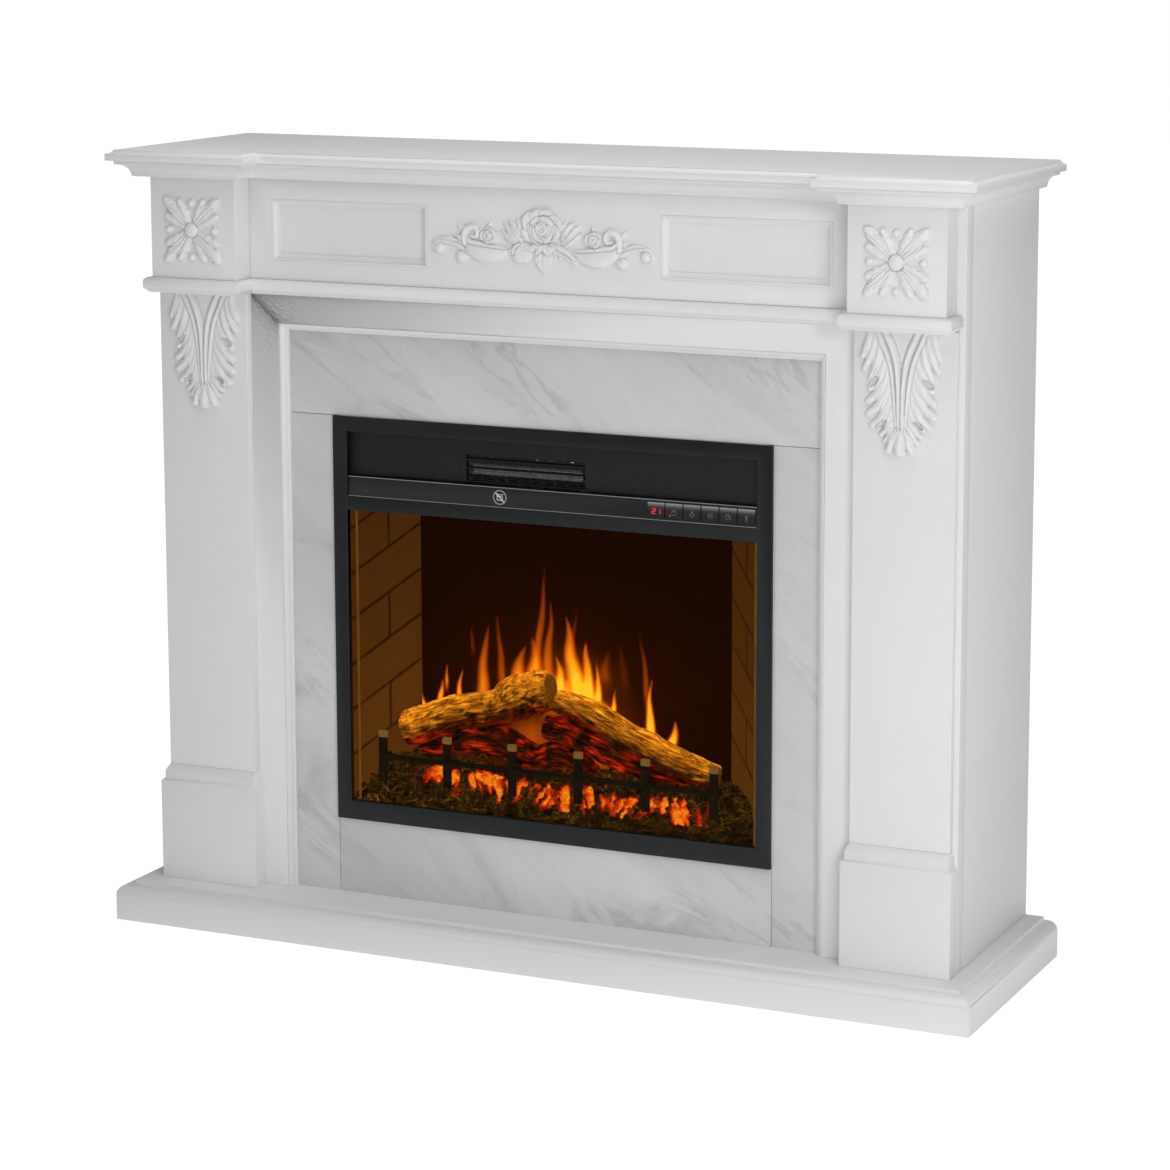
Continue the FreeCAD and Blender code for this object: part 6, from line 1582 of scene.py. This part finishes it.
for kind in ("power", "flame", "heat", "timer", "temperature"):
    node = "button_" + kind
    low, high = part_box(node)
    x, z = (low.x + high.x) / 2 / mm, (low.z + high.z) / 2 / mm - 2.2
    points, faces = strokeBoxes(signLines(kind, x, z), marks["line"], low.y / mm, marks["proud"])
    addMesh("sign_" + kind, meshFrom("sign" + kind, points, faces), "greyMark", node)
low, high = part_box("display_lens")
x, z = (low.x + high.x) / 2 / mm, (low.z + high.z) / 2 / mm - 1.6
lines = segmentLines(marks["digits"][0], x - 3.1, z) + segmentLines(marks["digits"][1], x + 3.6, z)
points, faces = strokeBoxes(lines, 0.85, low.y / mm, marks["proud"])
addMesh("display_digits", meshFrom("displayDigits", points, faces), "redDigits", "fireplace")
low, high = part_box("button_power")
points, faces = strokeBoxes(circleLines((low.x + high.x) / 2 / mm - 5.4, low.z / mm + 4.6, 0.35, 0, 360, 10), 0.75,
                            low.y / mm, marks["proud"])
addMesh("standby_lamp", meshFrom("standbyLamp", points, faces), "redDigits", "button_power")

barLow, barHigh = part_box("control_bar")
ring = marks["ring"]
x, z = ring["place"]
lines = circleLines(x, z, ring["radius"], 0, 360, 48)
slash = ring["radius"] * 0.70
points, faces = strokeBoxes(lines + [(x - slash, z + slash, x + slash, z - slash)], ring["line"], barLow.y / mm, 0.15)
inner = [(x - 3.6, z - 3.4, x + 3.6, z - 3.4), (x - 3.6, z + 1.2, x + 3.6, z + 1.2), (x - 3.6, z - 3.4, x - 3.6, z + 1.2),
         (x + 3.6, z - 3.4, x + 3.6, z + 1.2), (x - 4.6, z + 2.6, x - 1.4, z + 4.0), (x - 1.4, z + 4.0, x + 1.6, z + 3.0),
         (x + 1.6, z + 3.0, x + 4.6, z + 4.0)]
morePoints, moreFaces = strokeBoxes(inner, 0.8, barLow.y / mm, 0.14)
base = len(points)
points, faces = points + morePoints, faces + [tuple(base + i for i in face) for face in moreFaces]
addMesh("keep_clear_ring", meshFrom("keepClearRing", points, faces), "whiteMark", "fireplace")

# light steel strips along the bar's top and bottom edges, standing in for the edges' bright highlight lines
highlightStripBoxes = [(barLow.x / mm + 0.4, barHigh.x / mm - 0.4, barLow.y / mm - 0.25, barLow.y / mm + 1.0, z0, z0 + 0.9)
             for z0 in (barLow.z / mm + 0.1, barHigh.z / mm - 1.0)]
addMesh("control_bar_highlight_strips", withModifiers(boxesMesh("controlBarHighlightStrips", highlightStripBoxes), [("BEVEL", {"width": 0.2 * mm, "segments": 2})]),
        "rolledSteel", "fireplace")
print("controls marked")


# CAD pieces that keep their own mesh

carried = {
    "rawBoard": ["back_rails", "insert_shelf", "surround_board"],
    "blackTilePaintedHighlight": ["button_power", "button_flame", "button_heat", "button_timer", "button_temperature", "display_lens"],
    "blackNylon": ["cable_gland", "spindle_bearing"],
    "solderMask": ["control_board", "led_board"],
    "boltZinc": ["cover_screws"],
    "zincSheet": ["fan_housing", "insert_back_cover", "insert_brackets", "insert_case"],
    "rolledSteel": ["fan_motor", "spindle_motor"],
    "mattAluminium": ["fan_wheel", "flame_spindle"],
    "smokedPane": ["glass_pane"],
    "heaterCeramic": ["ptc_heater"],
}
for material, names in carried.items():
    for name in names:
        for holder in nodes[name].material_slots:
            holder.material = materials[material]
print("carried nodes finished:", sum(len(names) for names in carried.values()))


makeCamera(camera)


def makeStudio(s):
    scene = bpy.context.scene
    scene.view_settings.view_transform = "Standard"
    world = bpy.data.worlds.new("studioWorld")
    scene.world = world
    world.use_nodes = True
    tree = world.node_tree
    tree.nodes.clear()
    out = tree.nodes.new("ShaderNodeOutputWorld")
    seen = addNode(tree, "ShaderNodeBackground", {"Color": s["backdrop"], "Strength": 1.0})
    light = addNode(tree, "ShaderNodeBackground", {"Color": s["backdrop"], "Strength": s["ambient"]})
    path = addNode(tree, "ShaderNodeLightPath")
    mixed = addNode(tree, "ShaderNodeMixShader", {"Fac": path.outputs["Is Camera Ray"]})
    tree.links.new(light.outputs[0], mixed.inputs[1])
    tree.links.new(seen.outputs[0], mixed.inputs[2])
    tree.links.new(mixed.outputs[0], out.inputs[0])
    for name, (place, target, width, height, watts, colour) in s["lamps"].items():
        data = bpy.data.lights.new(name, "AREA")
        data.shape, data.size, data.size_y, data.energy, data.color = "RECTANGLE", width, height, watts, colour
        lamp = bpy.data.objects.new(name, data)
        lamp.location = place
        lamp.rotation_euler = (Vector(target) - Vector(place)).to_track_quat("-Z", "Y").to_euler()
        scene.collection.objects.link(lamp)
    size = 14.0
    mesh = meshFrom("studioFloor", [(-size, -size, 0), (size, -size, 0), (size, size, 0), (-size, size, 0)], [(0, 1, 2, 3)])
    floor = bpy.data.objects.new("studioFloor", mesh)
    floor.location.z = -0.5 * mm
    scene.collection.objects.link(floor)
    mat, tree, bsdf, group = newMaterial("studioFloorPaint", {"Specular IOR Level": 0.0, "Roughness": 0.9})
    bsdf.inputs["Base Color"].default_value = s["floor"] + (1.0,)
    bsdf.inputs["Emission Color"].default_value = (1.0, 1.0, 1.0, 1.0)
    bsdf.inputs["Emission Strength"].default_value = s["floorGlow"]
    white = addNode(tree, "ShaderNodeEmission", {"Strength": 1.05})         # what the camera sees
    path = addNode(tree, "ShaderNodeLightPath")
    mixed = addNode(tree, "ShaderNodeMixShader", {"Fac": path.outputs["Is Camera Ray"]})
    tree.links.new(bsdf.outputs[0], mixed.inputs[1])
    tree.links.new(white.outputs[0], mixed.inputs[2])
    tree.links.new(mixed.outputs[0], next(n for n in tree.nodes if n.type == "OUTPUT_MATERIAL").inputs[0])
    mesh.materials.append(mat)


makeStudio(studio)
print("studio ready")
